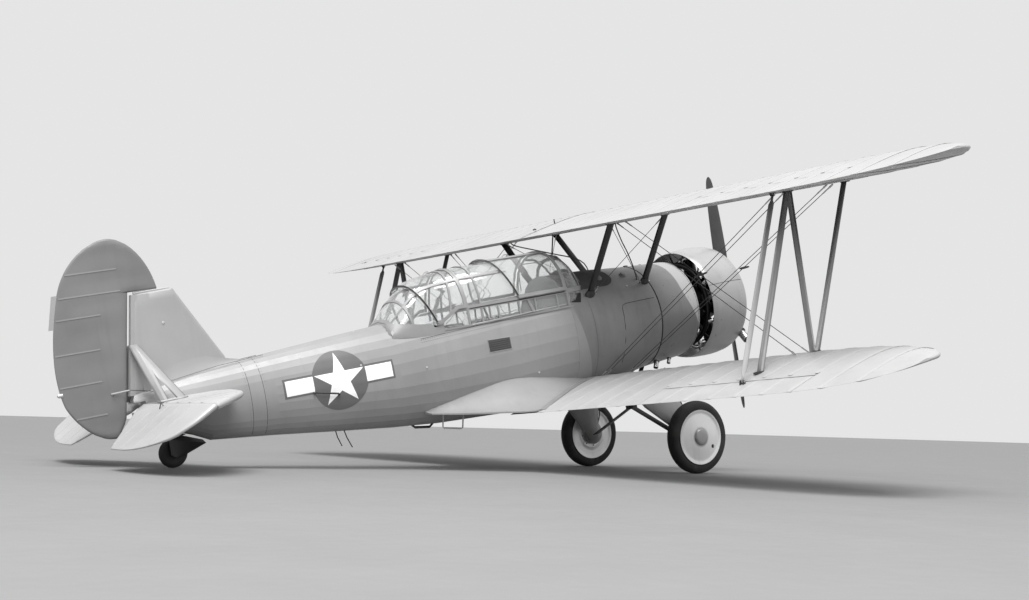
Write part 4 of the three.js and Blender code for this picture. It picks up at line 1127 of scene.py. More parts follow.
def step_of(tree, kind, inputs=None, **settings):
    """The first output of a new geometry node."""
    return put(tree, "GeometryNode" + kind, inputs, **settings).outputs[0]


def finish_tree(tree, given, geometry):
    real = step_of(tree, "RealizeInstances", {"Geometry": geometry})
    done = step_of(tree, "SetMaterial", {"Geometry": real, "Material": given["Finish"]})
    tree.links.new(done, tree.nodes.new("NodeGroupOutput").inputs[0])


def copies_on(tree, points, **instance):
    return step_of(tree, "InstanceOnPoints", {"Points": points, **instance})


def guide_lines(lines):
    """Rows of points as a mesh of edges."""
    guide = bpy.data.meshes.new("guide")
    edges, start = [], 0
    for line in lines:
        edges += [(start + k, start + k + 1) for k in range(len(line) - 1)]
        start += len(line)
    guide.from_pydata([tuple(p) for line in lines for p in line], edges, [])
    return guide


def grow(name, tree, lines, finish, slot, body=AIRFRAME, place=LEVEL, **sizes):
    """Runs a tree on a guide and bakes the result into one plain piece."""
    holder = bpy.data.objects.new(name + "_guide", guide_lines(lines))
    bpy.context.scene.collection.objects.link(holder)
    grower = holder.modifiers.new("grower", "NODES")
    grower.node_group = tree
    values = dict(sizes, Finish=FINISHES[finish].material)
    for item in tree.interface.items_tree:
        if item.in_out == "INPUT" and item.name in values:
            grower[item.identifier] = values[item.name]
    mesh = bpy.data.meshes.new_from_object(holder.evaluated_get(bpy.context.evaluated_depsgraph_get()))
    bpy.data.objects.remove(holder)
    mesh.transform(place)
    mesh.name = name
    return show(name, finish_mesh(mesh, "", 40), body)


# %% The four trees
fastener_tree, given = new_tree("fasteners_on_lines", Spacing=0.04, Radius=0.004)
line = step_of(fastener_tree, "MeshToCurve", {"Mesh": given["Geometry"]})
dots = step_of(fastener_tree, "ResampleCurve", {"Curve": line, "Length": given["Spacing"]}, mode="LENGTH")
head = step_of(fastener_tree, "MeshIcoSphere", {"Radius": given["Radius"], "Subdivisions": 1})
finish_tree(fastener_tree, given, copies_on(fastener_tree, dots, Instance=head))

tape_tree, given = new_tree("tapes_on_lines", Width=0.04, Height=0.002)
line = step_of(tape_tree, "MeshToCurve", {"Mesh": given["Geometry"]})
upright_line = step_of(tape_tree, "SetCurveNormal", {"Curve": line}, mode="Z_UP")
section = step_of(tape_tree, "CurvePrimitiveQuadrilateral", {k: given[k] for k in ("Width", "Height")})
finish_tree(tape_tree, given, step_of(tape_tree, "CurveToMesh", {
    "Curve": upright_line, "Profile Curve": section, "Fill Caps": True}))

fin_tree, given = new_tree("cooling_fins", Cylinders=7, Fins=22, Radius=0.078, Start=0.2, Pitch=0.0105,
                           Thickness=0.0035)
plate = step_of(fin_tree, "MeshCylinder",
                {"Vertices": 28, "Radius": given["Radius"], "Depth": given["Thickness"]})
first, pitch = (put(fin_tree, "ShaderNodeCombineXYZ", {"Z": given[size]}).outputs[0]
                for size in ("Start", "Pitch"))
heights = step_of(fin_tree, "MeshLine", {"Count": given["Fins"], "Start Location": first, "Offset": pitch})
stack = copies_on(fin_tree, heights, Instance=plate)
round_shaft = step_of(fin_tree, "MeshLine", {"Count": given["Cylinders"], "Offset": (0, 0, 0)})
lean = step_of(fin_tree, "InputIndex")
for operation, value in (("MULTIPLY", tau), ("DIVIDE", given["Cylinders"])):
    lean = put(fin_tree, "ShaderNodeMath", {0: lean, 1: value}, operation=operation).outputs[0]
spin = put(fin_tree, "ShaderNodeCombineXYZ", {"X": lean}).outputs[0]
finish_tree(fin_tree, given, copies_on(fin_tree, round_shaft, Instance=stack, Rotation=spin))

bolt_tree, given = new_tree("bolt_circle", Count=6, Circle=0.05, Radius=0.006, Height=0.006)
ring_of = step_of(bolt_tree, "MeshCircle", {"Vertices": given["Count"], "Radius": given["Circle"]})
hexagon = step_of(bolt_tree, "MeshCylinder",
                  {"Vertices": 6, "Radius": given["Radius"], "Depth": given["Height"]})
finish_tree(bolt_tree, given, copies_on(bolt_tree, ring_of, Instance=hexagon))


def bolt_circle(name, centre, axis, finish, slot, body=AIRFRAME, **sizes):
    """Hexagon heads in a ring about an axis."""
    turn = Vector(axis).to_track_quat("Z", "Y").to_matrix().to_4x4()
    place = LEVEL @ Matrix.Translation(centre) @ turn
    return grow(name, bolt_tree, ONE_POINT, finish, slot, body, place, **sizes)


# %% [markdown]
# ### The engine
#
# A radial engine has a round crankcase with seven finned cylinders standing on it like the
# spokes of a wheel. Rods in tubes work the valves at the front, and pipes carry the gases at
# the back. One loop places a cylinder's pieces at a given turn. The thin fins repeat nearly two
# hundred times, so the fin tree grows them.

# %% Engine
CYLINDERS, CYLINDER_X = 7, -0.47
CRANKCASE = [(-0.9076, 0), (-0.9076, 0.33), (-0.86, 0.33), (-0.8, 0.3), (-0.775, 0.24), (-0.76, 0.215),
             (-0.56, 0.215), (-0.55, 0.222), (-0.52, 0.222), (-0.51, 0.215), (-0.3, 0.215), (-0.29, 0.205),
             (-0.26, 0.185), (-0.25, 0.17), (-0.2, 0.15), (-0.16, 0.118), (-0.118, 0.07), (-0.118, 0)]
# Painted shade: a thin dark disc over the drum's front face, which lies in shade behind the engine.
DRUM_FACE_SHADE = [(-0.9085, 0), (-0.9085, 0.475), (-0.9035, 0.475), (-0.9035, 0)]
CYLINDER = [(0.18, 0), (0.18, 0.078), (0.196, 0.078), (0.2, 0.064), (0.43, 0.064), (0.43, 0.072),
            (0.5, 0.07), (0.535, 0.056), (0.542, 0)]
ROCKER_BOX = [(0.5, 0), (0.5, 0.03), (0.545, 0.028), (0.556, 0.02), (0.558, 0)]
INTAKE = [(0.225, -0.63, 0.05), (0.33, -0.64, 0.07), (0.44, -0.62, 0.06), (0.495, -0.54, 0.03)]
ELBOW = [(0.5, -0.52, -0.03), (0.512, -0.6, -0.07), (0.505, -0.668, -0.1), (0.47, -0.7, -0.115)]


def spoke(turn, radius, x, aside=0.0):
    """A point at a distance from the engine's centre line, on the spoke of one cylinder."""
    c, s = math.cos(turn), math.sin(turn)
    return at(x, s * radius + c * aside, RING_CENTRE.z + c * radius - s * aside)


# The fourth finish, dark_line, colours the disc over the drum's face: painted shade.
engine = Form().turned(CRANKCASE, RING_CENTRE, AHEAD, 64).turned(DRUM_FACE_SHADE, RING_CENTRE, AHEAD, 64, 3)
engine.bar([spoke(turn, 0.455, -0.7) for turn in between(0, tau, 57)], 0.03, 12, 1)
for k in range(CYLINDERS):
    turn = tau * k / CYLINDERS
    centre = spoke(turn, 0, CYLINDER_X)
    out = spoke(turn, 1, CYLINDER_X) - centre
    engine.turned(CYLINDER, centre, out, 28, 1)
    for x in (-0.52, -0.42):
        engine.turned(ROCKER_BOX, spoke(turn, 0, x), out, 16)
        engine.bar([spoke(turn, 0.52, x), spoke(turn, 0.52, x + 0.06)], 0.021, 12)
    for aside in (-0.032, 0.032):
        engine.bar([spoke(turn, 0.195, -0.3, aside * 1.5), spoke(turn, 0.52, -0.372, aside)], 0.0095, 10, 2)
        engine.bar([spoke(turn, 0.47, -0.6, aside), spoke(turn, 0.47, -0.545, aside)], 0.01, 8, 2)
    for pipe, radius, mark in ((INTAKE, 0.022, 1), (ELBOW, 0.024, 2)):
        engine.hose([spoke(turn, *p) for p in pipe], radius, 12, mark)
engine.make("radial_engine", "engine_grey engine_metal bright_steel dark_line", "engine_metal",
            stands_for=("engine",))

at_cylinders = LEVEL @ Matrix.Translation((CYLINDER_X, 0, RING_CENTRE.z))
for name, fins, radius, start, pitch in (("barrel_fins", 21, 0.08, 0.206, 0.0106),
                                         ("head_fins", 8, 0.092, 0.432, 0.012)):
    grow(name, fin_tree, ONE_POINT, "engine_metal", "engine_metal", place=at_cylinders, Cylinders=CYLINDERS,
         Fins=fins, Radius=radius, Start=start, Pitch=pitch, Thickness=0.0036)
bolt_circle("crankcase_bolts", (-0.248, 0, RING_CENTRE.z), AHEAD, "bright_steel", "engine_metal",
            Count=14, Circle=0.158, Radius=0.009, Height=0.012)

# %% [markdown]
# ### The propeller
#
# Each blade twists from a steep angle at the hub to a flat one at the tip. Rows of distance,
# width, thickness and angle describe it, and the rows between are filled in smoothly.

# %% Propeller
BLADE = [  # distance from the hub, width, thickness, angle in degrees
    (0.06, 0.092, 0.08, 45), (0.18, 0.118, 0.062, 42), (0.38, 0.152, 0.04, 36), (0.6, 0.152, 0.03, 30),
    (0.85, 0.142, 0.022, 25), (1.08, 0.122, 0.016, 22), (1.27, 0.09, 0.011, 20),
    (1.35, 0.058, 0.008, 19), (1.381, 0.016, 0.005, 18),
]
HUB_SHELL = [(-0.112, 0), (-0.112, 0.06), (-0.104, 0.066), (-0.064, 0.09), (-0.056, 0.0922), (0.092, 0.0922),
             (0.1, 0.089), (0.124, 0.064), (0.13, 0.056), (0.139, 0.046), (0.14, 0.04), (0.14, 0)]
BLADE_SOCKET = [(0.075, 0), (0.075, 0.068), (0.082, 0.072), (0.11, 0.072), (0.118, 0.066), (0.118, 0)]
PROPELLER_X = 0.05


def blade_ring(row, way):
    r, chord, thick, degrees = row
    c, s = math.cos(math.radians(degrees)), math.sin(math.radians(degrees))
    spokes = circle(at(s, -way * c, 0) * chord / 2, at(c, way * s, 0) * thick / 2, 24)
    return [at(PROPELLER_X, 0, way * r) + p for p in spokes]


propeller = Form().turned(HUB_SHELL, (0, 0, 0), AHEAD, 48, 1)
for way in (1, -1):
    propeller.add(loft([blade_ring(row, way) for row in sweep_rows(BLADE, 5)]))
    propeller.turned(BLADE_SOCKET, (PROPELLER_X, 0, 0), (0, 0, way), 32, 1)
propeller.make("propeller_blades", "blade_metal bright_steel", "blade_metal", "propeller",
               stands_for=("propeller",))
bolt_circle("propeller_bolts", (0.127, 0, 0), AHEAD, "cable_steel", "blade_metal", "propeller",
            Count=8, Circle=0.05, Radius=0.006, Height=0.014)

# %% [markdown]
# ### Fittings of the ring and the wheels
#
# The ring is held by brackets to the engine, and its sheets meet in lines of rivets. The wheel
# discs have a hole for the tyre's valve, drawn as a small dark disc: painted shade.

# %% Ring and wheel fittings
# Painted shade: the valve hole is a dark disc standing for the shade inside the hole.
VALVE_HOLE = [(-0.004, 0), (-0.004, 0.017), (0.003, 0.019), (0.0045, 0.017), (0.0045, 0)]
VALVE = [(0, 0), (0, 0.005), (0.016, 0.005), (0.018, 0)]
BRAKE_PIPE = [(-1.56, 0.56, -0.62), (-1.535, 0.66, -0.9), (-1.52, 0.76, -1.18), (-1.56, 0.815, -1.3)]


def round_ring(x, radius, degrees):
    return spoke(math.radians(90 - degrees), radius, x)


brackets = Form()
for k in range(CYLINDERS):
    degrees = 90 + 360 * (k + 0.5) / CYLINDERS
    brackets.bar([round_ring(-0.5, radius, degrees) for radius in (0.2, 0.603)], 0.01)
for degrees in (18, 162, 270):
    brackets.bar([round_ring(x, r + 0.0002, degrees) for x, r in RING[1:9]], 0.0024, 6, 1)
brackets.make("ring_brackets", "cable_steel dark_line", "engine_metal")
rows = [[round_ring(x, r, degrees) for degrees in between(0, 360, 73)]
        for x, r in ((-0.7, 0.6095), (-0.3, 0.6155))]
grow("ring_rivets", fastener_tree, rows, "rivet_grey", "nose_paint", Spacing=0.045, Radius=0.0032)

for name, side in SIDES:
    hub, out, wheel = to_side([WHEEL], side)[0], at(0, side, 0), "wheel_" + name
    place = hub + at(0.15, side * 0.057, -0.127)
    valve = Form().turned(VALVE_HOLE, place, out, 20).turned(VALVE, place, out, 10, 1)
    valve.make("valve_hole_" + name, "dark_line bright_steel", "disc_metal", wheel)
    bolt_circle("inner_hub_bolts_" + name, hub - out * 0.0525, out, "cable_steel", "disc_metal", wheel,
                Count=8, Circle=0.135, Radius=0.008, Height=0.008)
    Form().hose(to_side(BRAKE_PIPE, side), 0.006).make("brake_pipe_" + name, "cable_steel", "fork_steel")

# %% [markdown]
# ## Rib tapes
#
# Over each rib a strip of cloth with pinked edges covers the stitching. It stands a hair proud
# of the skin and catches the light, so a wing reads as cloth and not as sheet metal. A guide
# line runs along the skin over each rib, and the tape tree gives it width and thickness.

# %% Rib tapes
WING_SHARES = [0.03, 0.06, 0.1, 0.15, 0.21, 0.28, 0.36, 0.44, 0.52, 0.6, 0.68, 0.735]
TAIL_SHARES = [0.79, 0.84, 0.9, 0.95, 0.995]
AILERON_EDGE = 0.02
WING_TAPE_LIFT, TAIL_TAPE_LIFT, RIDGE_LIFT = 0.0004, 0.0003, 0.0005


def rib_lines(wing, y, side, shares):
    """A line over the rib at y on both faces of a wing."""
    matrix, lines = wing_place(wing, side), []
    for upper, lift in ((True, WING_TAPE_LIFT), (False, -WING_TAPE_LIFT)):
        row = [skin_point(y, s, upper) + at(0, 0, lift) for s in shares]
        lines.append([matrix @ p for p in to_side(row, side)])
    return lines


def tapes(name, lines, body, width, height):
    grow(name, tape_tree, lines, "tape_dope", "wing_dope", body, Width=width, Height=height)


bay = AILERON_INNER - AILERON_EDGE, AILERON_OUTER + AILERON_EDGE
for wing_name, wing, inner in (("upper", UPPER_WING, 0.0), ("lower", LOWER_WING, 0.6)):
    for name, side in SIDES:
        lines = []
        for y in multiples(RIB_PITCH, inner, HALF_SPAN - 0.15):
            shares = WING_SHARES if bay[0] < y < bay[1] else WING_SHARES + TAIL_SHARES
            lines += rib_lines(wing, y, side, shares)
        tapes(f"{wing_name}_wing_tapes_{name}", lines, AIRFRAME, 0.036, 0.0022)
        lines = []
        for y in multiples(RIB_PITCH, AILERON_INNER + AILERON_EDGE, AILERON_OUTER - AILERON_EDGE):
            lines += rib_lines(wing, y, side, TAIL_SHARES)
        tapes(f"{wing_name}_aileron_tapes_{name}", lines, f"{wing_name}_aileron_{name}", 0.036, 0.0022)

# %% [markdown]
# The rudder's ribs are thicker: each is a light ridge from the rear edge to about two thirds
# of the way forward. The tree is the same, with width and height swapped, because the rudder
# stands upright and its tapes lie on an upright skin.

# %% Rudder ridges and tail tapes
def across_rudder(z, side):
    low, high = crossings(rudder_outline, z)
    front = min(high - 0.03, low + 0.62 * (high - low))
    thick = upright(RUDDER_THICKNESS)
    return [at(x, side * (thick(z, x) / 2 + RIDGE_LIFT), z) for x in between(low + 0.012, front, 9)]


def along_tail(outline, thick, y, face, place):
    rear, front = crossings(outline, y)
    xs = between(front - 0.035, rear + 0.015, 10)
    return [place(y, x, face * (table_value(thick, x) / 2 + TAIL_TAPE_LIFT)) for x in xs]


ridges = [across_rudder(z, side) for z in RUDDER_RIBS[1:-1] for _, side in SIDES]
grow("rudder_rib_ridges", tape_tree, ridges, "ridge_dope", "rudder_dope", "rudder",
     Width=0.006, Height=0.012)
for name, side in SIDES:
    for kind, (body, outline, thick, matrix) in TAIL_SURFACES.items():
        lines = [along_tail(outline, thick, y, face, lie(matrix, side))
                 for y in multiples(TAIL_RIB, 0.3, 1.6) for face in (1, -1)]
        tapes(f"{kind}_tapes_{name}", lines, body, 0.028, 0.002)

# %% [markdown]
# ## Seams, panels and rivets of the body
#
# The nose is cowled in sheet panels. A dark line marks each joint, with a round corner on the
# side panel, and rows of small fasteners run beside the joints and along the canopy sill. A
# black patch ahead of the windscreen keeps the sun from glaring off the deck.

# %% Seams and panels
CORNER = [(-1.52, 0.14), (-1.6, 0.14), (-1.76, 0.138), (-1.91, 0.136), (-1.955, 0.122), (-1.972, 0.085),
          (-1.976, 0.02), (-1.985, -0.1), (-1.995, -0.25), (-2.005, -0.4), (-2.012, -0.48)]
seams = Form()
for _, side in SIDES:
    seams.bar([on_side(x, z, side, 0.0006) for x, z in CORNER], 0.003, 6)
    seams.bar(sill_line(side, 0, 0.0004), 0.0022, 6)
for x, radius in ((-5.965, 0.0017), (-6.092, 0.0017), (-0.93, 0.0017), (-1.4745, 0.0052)):
    seams.bar(body_hoop(x, -75, 255, 49), radius, 6)
seams.make("body_seams", "dark_line", "body_paint", sharp=30)

PATCH_TURN = 0.55                      # metres of skin for a radian of turn, near enough
low, high = PATCH_TURN * math.radians(43), PATCH_TURN * math.radians(137)
patch_outline = [(-2.585, low), (-2.585, high)]
patch_outline += curve((-2.08, high), (-1.93, high), (-1.9, high - 0.12), steps=8)
patch_outline += curve((-1.9, low + 0.12), (-1.93, low), (-2.08, low), steps=8)
patch = laid_sheet(patch_outline, lambda u, v, lift: body_point(u, v / PATCH_TURN, lift), 0.04)
Form().add(patch).make("glare_patch", "glare_black", "panel_black")

WINDOW = [(-2.58, 0.25), (-2.452, 0.232), (-2.398, 0.328), (-2.53, 0.345)]
VENT = [(-3.655, -0.086), (-3.405, -0.09), (-3.405, 0.022), (-3.655, 0.03)]
VENT_RIM = [(-3.659, -0.09), (-3.401, -0.094), (-3.401, 0.026), (-3.659, 0.034)]
openings = Form()
for _, side in SIDES:
    openings.add(laid_sheet(WINDOW, mirrored(side), 0.03, 0.0022), 2)
    openings.add(laid_sheet(VENT, mirrored(side), 0.03))
    for start, end in edges_of(VENT_RIM):
        openings.bar(side_row(start, end, 6, side, 0.001), 0.0042, 6, 1)
    for z in between(0.008, -0.072, 5):
        openings.bar(side_row((-3.645, z), (-3.415, z), 5, side, 0.002), 0.0032, 6)
openings.make("side_openings", "slot_grey body_paint dark_line", "body_paint")

# %% Rows of fasteners
PLUG = [(-0.003, 0), (-0.003, 0.01), (0.003, 0.011), (0.007, 0.008), (0.008, 0)]
PANEL_ROWS = (((-1.52, 0.114), (-1.92, 0.114), 7), ((-1.952, 0.06), (-1.992, -0.46), 9),
              ((-1.998, 0.06), (-2.038, -0.46), 9))
rows = [body_hoop(x, -80, 260, 61) for x in (-0.925, -1.458, -1.506, -2.338, -2.382, -5.945, -6.112)]
rows += [side_row(*row, side) for _, side in SIDES for row in PANEL_ROWS]
grow("body_rivets", fastener_tree, rows, "rivet_grey", "nose_paint", Spacing=0.032, Radius=0.003)
rows = [sill_line(side, lower) for _, side in SIDES for lower in (0.012, 0.034)]
grow("sill_fasteners", fastener_tree, rows, "dark_line", "body_paint", Spacing=0.024, Radius=0.0036)

plugs = Form()
for _, side in SIDES:
    for x, z in ((-4.366, -0.11), (-3.108, -0.388), (-2.15, 0.352), (-1.79, 0.312), (-5.02, 0.03)):
        plugs.turned(PLUG, *drop(fuselage_tree, (x, side * 2, z), (0, -side, 0)), 12)
plugs.make("bright_plugs", "pale_line", "body_paint")

# %% [markdown]
# ## The marking on the sides
#
# A white star on a dark disc, with a white bar on each side and a dark border round it all, is
# a traditional service marking. It is painted on the skin, so it is thin sheets laid one over
# the other: the dark border, the dark disc, and the white star with its bars.

# %% Star and bars
STAR_X, STAR_Z, STAR_RADIUS, DISC_RADIUS = -5.246, -0.065, 0.255, 0.275
BAR_REACH, BAR_LOW, BAR_HIGH, BORDER = 0.524, -0.06, 0.079, 0.02
DENT = math.sin(math.radians(18)) / math.sin(math.radians(54))


def round_star(turn, radius):
    return STAR_X + radius * math.cos(turn), STAR_Z + radius * math.sin(turn)


def side_bar(way, near, border):
    near, far = STAR_X + way * near, STAR_X + way * (BAR_REACH + border)
    low, high = STAR_Z + BAR_LOW - border, STAR_Z + BAR_HIGH + border
    return [(near, low), (far, low), (far, high), (near, high)]


disc = [round_star(tau * k / 72, DISC_RADIUS) for k in range(72)]
star = [round_star(math.radians(90 + 36 * k), STAR_RADIUS * (DENT if k % 2 else 1)) for k in range(10)]
layers = [(disc, 0.0018, 0), (star, 0.0026, 1)]                    # outline, lift, finish
for way in (-1, 1):
    layers += [(side_bar(way, 0.235, BORDER), 0.001, 0), (side_bar(way, 0.258, 0), 0.0024, 1)]
for name, side in SIDES:
    marking = Form()
    for outline, lift, mark in layers:
        marking.add(laid_sheet(outline, mirrored(side), 0.02, lift), mark)
    marking.make("star_marking_" + name, "marking_dark marking_white", "body_paint", sharp=30)

# %% [markdown]
# ## Fin root, fin cap and tail fittings
#
# A curved fillet leads the air from the deck up onto the fin, so no hard corner shows at its
# foot. Its sections are hollow curves that grow from nothing at the front. The fin's top edge
# is closed by a bright strip, and a small lamp sits on the rudder's rear edge.

# %% Fin fillet and cap
FILLET_FRONT, FILLET_LENGTH, FILLET_STEPS = -6.07, 0.9, 14
FILLET_REACH, FILLET_RISE = 0.115, 0.13
rings = []
for k in range(FILLET_STEPS + 1):
    x = FILLET_FRONT - FILLET_LENGTH * k / FILLET_STEPS
    grown = min(1.0, (k + 0.6) / 6) * min(1.0, 0.55 + (FILLET_STEPS - k) / 12)
    half = max(0.006, upright(FIN_THICKNESS)(0.3, x) / 2)
    reach = min(half + FILLET_REACH * grown, 0.85 * section_at(x)[0])
    crest = below(fuselage_tree, x, 0)[0].z + (FILLET_RISE * grown if k else 0.015)
    edge = below(fuselage_tree, x, reach)[0].z - 0.004
    ring = [(x, reach * 0.6, edge - 0.02)]
    for turn in between(0, math.pi / 2, 9):
        inwards, upwards = math.sin(turn), 1 - math.cos(turn)
        ring.append((x, reach + (half + 0.001 - reach) * inwards, edge + (crest - edge) * upwards))
    rings.append(to_side(ring, PORT) + to_side(ring[::-1], STARBOARD))
Form().add(loft(rings)).make("fin_fillet", "fin_paint", "body_paint", sharp=50)

cap = Form().bar([(-6.566, 0, 1.006), (-6.6, 0, 1.014), (-6.75, 0, 1.0125), (-6.915, 0, 1.009)],
                 [0.004, 0.0095, 0.011, 0.012], 12)
cap.bar([(-6.19, 0, 0.33), (-6.37, 0, 0.645), (-6.562, 0, 1)], 0.0042)
cap.make("fin_cap", "pale_line", "body_paint")

# %% Tail fittings
HORN_TIP = at(-7.119, 0.125, 0.198)
LAMP = [(-0.016, 0), (-0.014, 0.018), (0.012, 0.019), (0.026, 0.014), (0.033, 0)]
FIN_KNOB = [(-0.012, 0), (-0.012, 0.01), (0.01, 0.012), (0.014, 0)]
on_rudder = Form().turned(LAMP, (-7.655, 0, 0.252), -AHEAD, 16, 1)
barrels = Form().turned(FIN_KNOB, (-6.705, -0.026, 0.719), (0, -1, 0), 12, 1)
horns = Form()
for name, side in SIDES:
    horn = to_side([(-7.245, 0.022, 0.186), (-7.225, 0.052, 0.188), HORN_TIP], side)
    on_rudder.bar(horn, [0.009, 0.009, 0.006], 8, 1)
    for y in (0.34, 0.92, 1.5):
        barrels.bar([(ELEVATOR_X, side * (y + d), ELEVATOR_Z) for d in (-0.02, 0.02)], 0.012, 12)
    corners = ((-0.06, 0.018), (-0.02, 0.052), (-0.012, 0.02))
    horns.bar([droop @ at(x, side * 0.68, z) for x, z in corners], 0.005)
    start, end = to_side([(-6.757, 0.062, 0.114), HORN_TIP], side)
    cable = Form().bar([start + at(0.1, -side * 0.02, -0.03)] + between(start, end, 11), 0.0032, 6)
    made = cable.make("rudder_cable_" + name, "cable_steel", "fork_steel", None, 35)
    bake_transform(made)
for z in (0.22, 0.52, 0.8):
    barrels.bar([on_hinge(z) - hinge_line * 0.022, on_hinge(z) + hinge_line * 0.022], 0.013, 12)
on_rudder.make("rudder_fittings", "cable_steel pale_line", "rudder_dope", "rudder")
barrels.make("tail_hinge_barrels", "cable_steel pale_line", "fork_steel")
horns.make("elevator_horns", "dark_strut_paint", "fork_steel", "elevator")

# %% [markdown]
# ## Rigging
#
# Steel wires keep the wings true: two from each upper root to the lower strut feet carry the
# wings on the ground, and two pairs from each lower root to the upper strut heads carry the
# aircraft in flight. Each ends in a forked fitting. Where pairs run close together a short
# stick holds them apart. They are taut, so each is one straight bar.

# %% Rigging wires
WIRES = [  # start and end, on the port side
    ((-2.24, 0.96, 0.985), (-2.475, 3.3, -0.4)), ((-2.13, 0.96, 0.99), (-2.269, 3.3, -0.44)),
    ((-2.43, 3.3, 0.96), (-2.44, 0.56, -0.56)), ((-2.29, 3.3, 0.975), (-2.38, 0.56, -0.56)),
    ((-1.641, 3.2, 0.985), (-2.131, 0.585, -0.6)), ((-1.565, 3.2, 0.98), (-2.07, 0.585, -0.6)),
    ((-1.578, 0.95, 0.99), (-2.3, 0.405, 0.262)), ((-2.318, 0.95, 0.98), (-1.56, 0.405, 0.29)),
]
FORK_AT, FORK_RADII = (-0.01, 0.03, 0.04, 0.11, 0.135), [0.008, 0.01, 0.0065, 0.0065, 0.0045]
SPREADERS = [((-2.466, 2.21, 0.352), (-2.29, 2.21, 0.372)), ((-1.83, 2.16, 0.348), (-1.69, 2.16, 0.352))]
SPREADER_AT, SPREADER_RADII = (0, 0.12, 0.5, 0.88, 1), [0.002, 0.009, 0.012, 0.009, 0.002]
FUEL_LINE = [(-2.24, 0.945, 0.985), (-2.2, 0.9, 0.93), (-1.94, 0.64, 0.79), (-1.7, 0.42, 0.655),
             (-1.62, 0.385, 0.48), (-1.59, 0.38, 0.3)]
RUDDER_LINE = [(-5.86, 0.08, 0.286), (-6.3, 0.064, 0.262), (-6.76, 0.056, 0.205)]

rigging = Form().bar([(-2.33, 0, 1), (-2.4, 0, 0.735)], 0.0075)
for _, side in SIDES:
    for ends in WIRES:
        a, b = to_side(ends, side)
        way = (b - a).normalized()
        rigging.bar([a, b], 0.0034, 6)
        for point, inwards in ((a, way), (b, -way)):
            rigging.bar([point + inwards * d for d in FORK_AT], FORK_RADII, 8, 1)
    for ends in SPREADERS:
        a, b = to_side(ends, side)
        rigging.bar([a + (b - a) * t for t in SPREADER_AT], SPREADER_RADII)
    rigging.hose(to_side(FUEL_LINE, side), 0.0065).bar(to_side(RUDDER_LINE, side), 0.0026, 6)
rigging.make("rigging_wires", "cable_steel bright_steel", "fork_steel")

# %% [markdown]
# ## Struts' feet and link bolts
#
# Where a strut meets a skin there is a metal boot, and the aileron links turn on bolts. Small
# as they are, they show how the pieces are held together.

# %% Boots and bolts
CABANES = ((-2.3, 0.262, 0.682), (-1.533, 0.303, 0.16))            # foot x and z, chord share of the head
CABANE_FOOT_Y, CABANE_HEAD_Y, STRUT_Y = 0.4, 0.962, 3.362
SPARS = ((0.16, UPPER_WING, (STRUT_Y, CABANE_HEAD_Y)), (0.682, UPPER_WING, (STRUT_Y, CABANE_HEAD_Y)),
         (0.135, LOWER_WING, (STRUT_Y,)), (0.6375, LOWER_WING, (STRUT_Y,)))
CABANE_BOOT = ((-0.02, 0.062, 0.038), (0.012, 0.06, 0.036), (0.034, 0.052, 0.028), (0.055, 0.048, 0.024))
STRUT_BOOT = ((-0.006, 0.062, 0.03), (0.004, 0.06, 0.029), (0.008, 0.05, 0.023))
BOOT_BOLT = [(-0.003, 0), (-0.003, 0.009), (0.006, 0.009), (0.006, 0)]
LINK_BOLT = [(0.0205, 0), (0.0205, 0.0085), (0.0265, 0.0085), (0.0265, 0)]


def boot(place, way, across, rows):
    """Ovals stacked along a strut: rows of distance along it, half length and half width."""
    return loft([[place + way * along + p for p in circle(AHEAD * long, across * wide, 24)]
                 for along, long, wide in rows])


boots = Form()
for _, side in SIDES:
    for x, z, share in CABANES:
        foot = at(x, side * CABANE_FOOT_Y, z)
        way = (on_wing(UPPER_WING, share, CABANE_HEAD_Y, False, side) - foot).normalized()
        place = drop(fuselage_tree, foot + way * 0.25, -way)[0] or foot
        boots.add(boot(place, way, way.cross(AHEAD).normalized(), CABANE_BOOT))
        for dx in (-0.075, 0.075):
            seat, normal = drop(fuselage_tree, place + at(dx, side * 0.5, 0.15), at(0, -side * 0.5, -0.15))
            if seat is not None:
                boots.turned(BOOT_BOLT, seat, normal, 6, 1)
    for share, wing, ys in SPARS:
        upper = wing is LOWER_WING
        for y in ys:
            place = on_wing(wing, share, y, upper, side, 0.001)
            boots.add(boot(place, at(0, 0, 1 if upper else -1), at(0, 1, 0), STRUT_BOOT))
boots.make("strut_boots", "dark_strut_paint bright_steel", "dark_strut_paint")

for node, eye in EYES.items():
    bolt = Form().turned(LINK_BOLT, eye, (0, -1, 0), 6).turned(LINK_BOLT, eye, (0, 1, 0), 6)
    bolt.make(node.replace("aileron", "link_bolt"), "bright_steel", "fork_steel", node, 30)

# %% [markdown]
# ## Steps, hand-hold and small things on top
#
# The stirrup and the flat step below the body are for climbing in, and the bent handle on its
# side is for lifting the tail. Caps close the tank ahead of the cockpit.

# %% Steps and handles
STIRRUP = [(-4.212, -0.56), (-4.218, -0.6), (-4.242, -0.712), (-4.232, -0.726), (-4.04, -0.77),
           (-4.022, -0.764), (-3.99, -0.63), (-3.985, -0.59)]
FLAT_STEP = [(-4.43, -0.66), (-4.396, -0.69), (-4.235, -0.718), (-4.19, -0.69)]
GRIP = [(-5.516, -0.135, -0.01), (-5.52, -0.14, 0.035), (-5.516, -0.128, 0.045), (-5.3, -0.178, 0.045),
        (-5.29, -0.19, 0.035), (-5.288, -0.196, -0.01)]           # x, z and height above the skin
RODS = [((-5.25, -0.52), (-5.2355, -0.61), (-5.205, -0.7)),
        ((-5.165, -0.53), (-5.1405, -0.6325), (-5.1, -0.735))]
steps = Form().bar([(x, -0.3, z) for x, z in STIRRUP], 0.0075, 8, 1)
steps.bar([(x, -0.03, z) for x, z in FLAT_STEP], [0.01, 0.013, 0.013, 0.01])
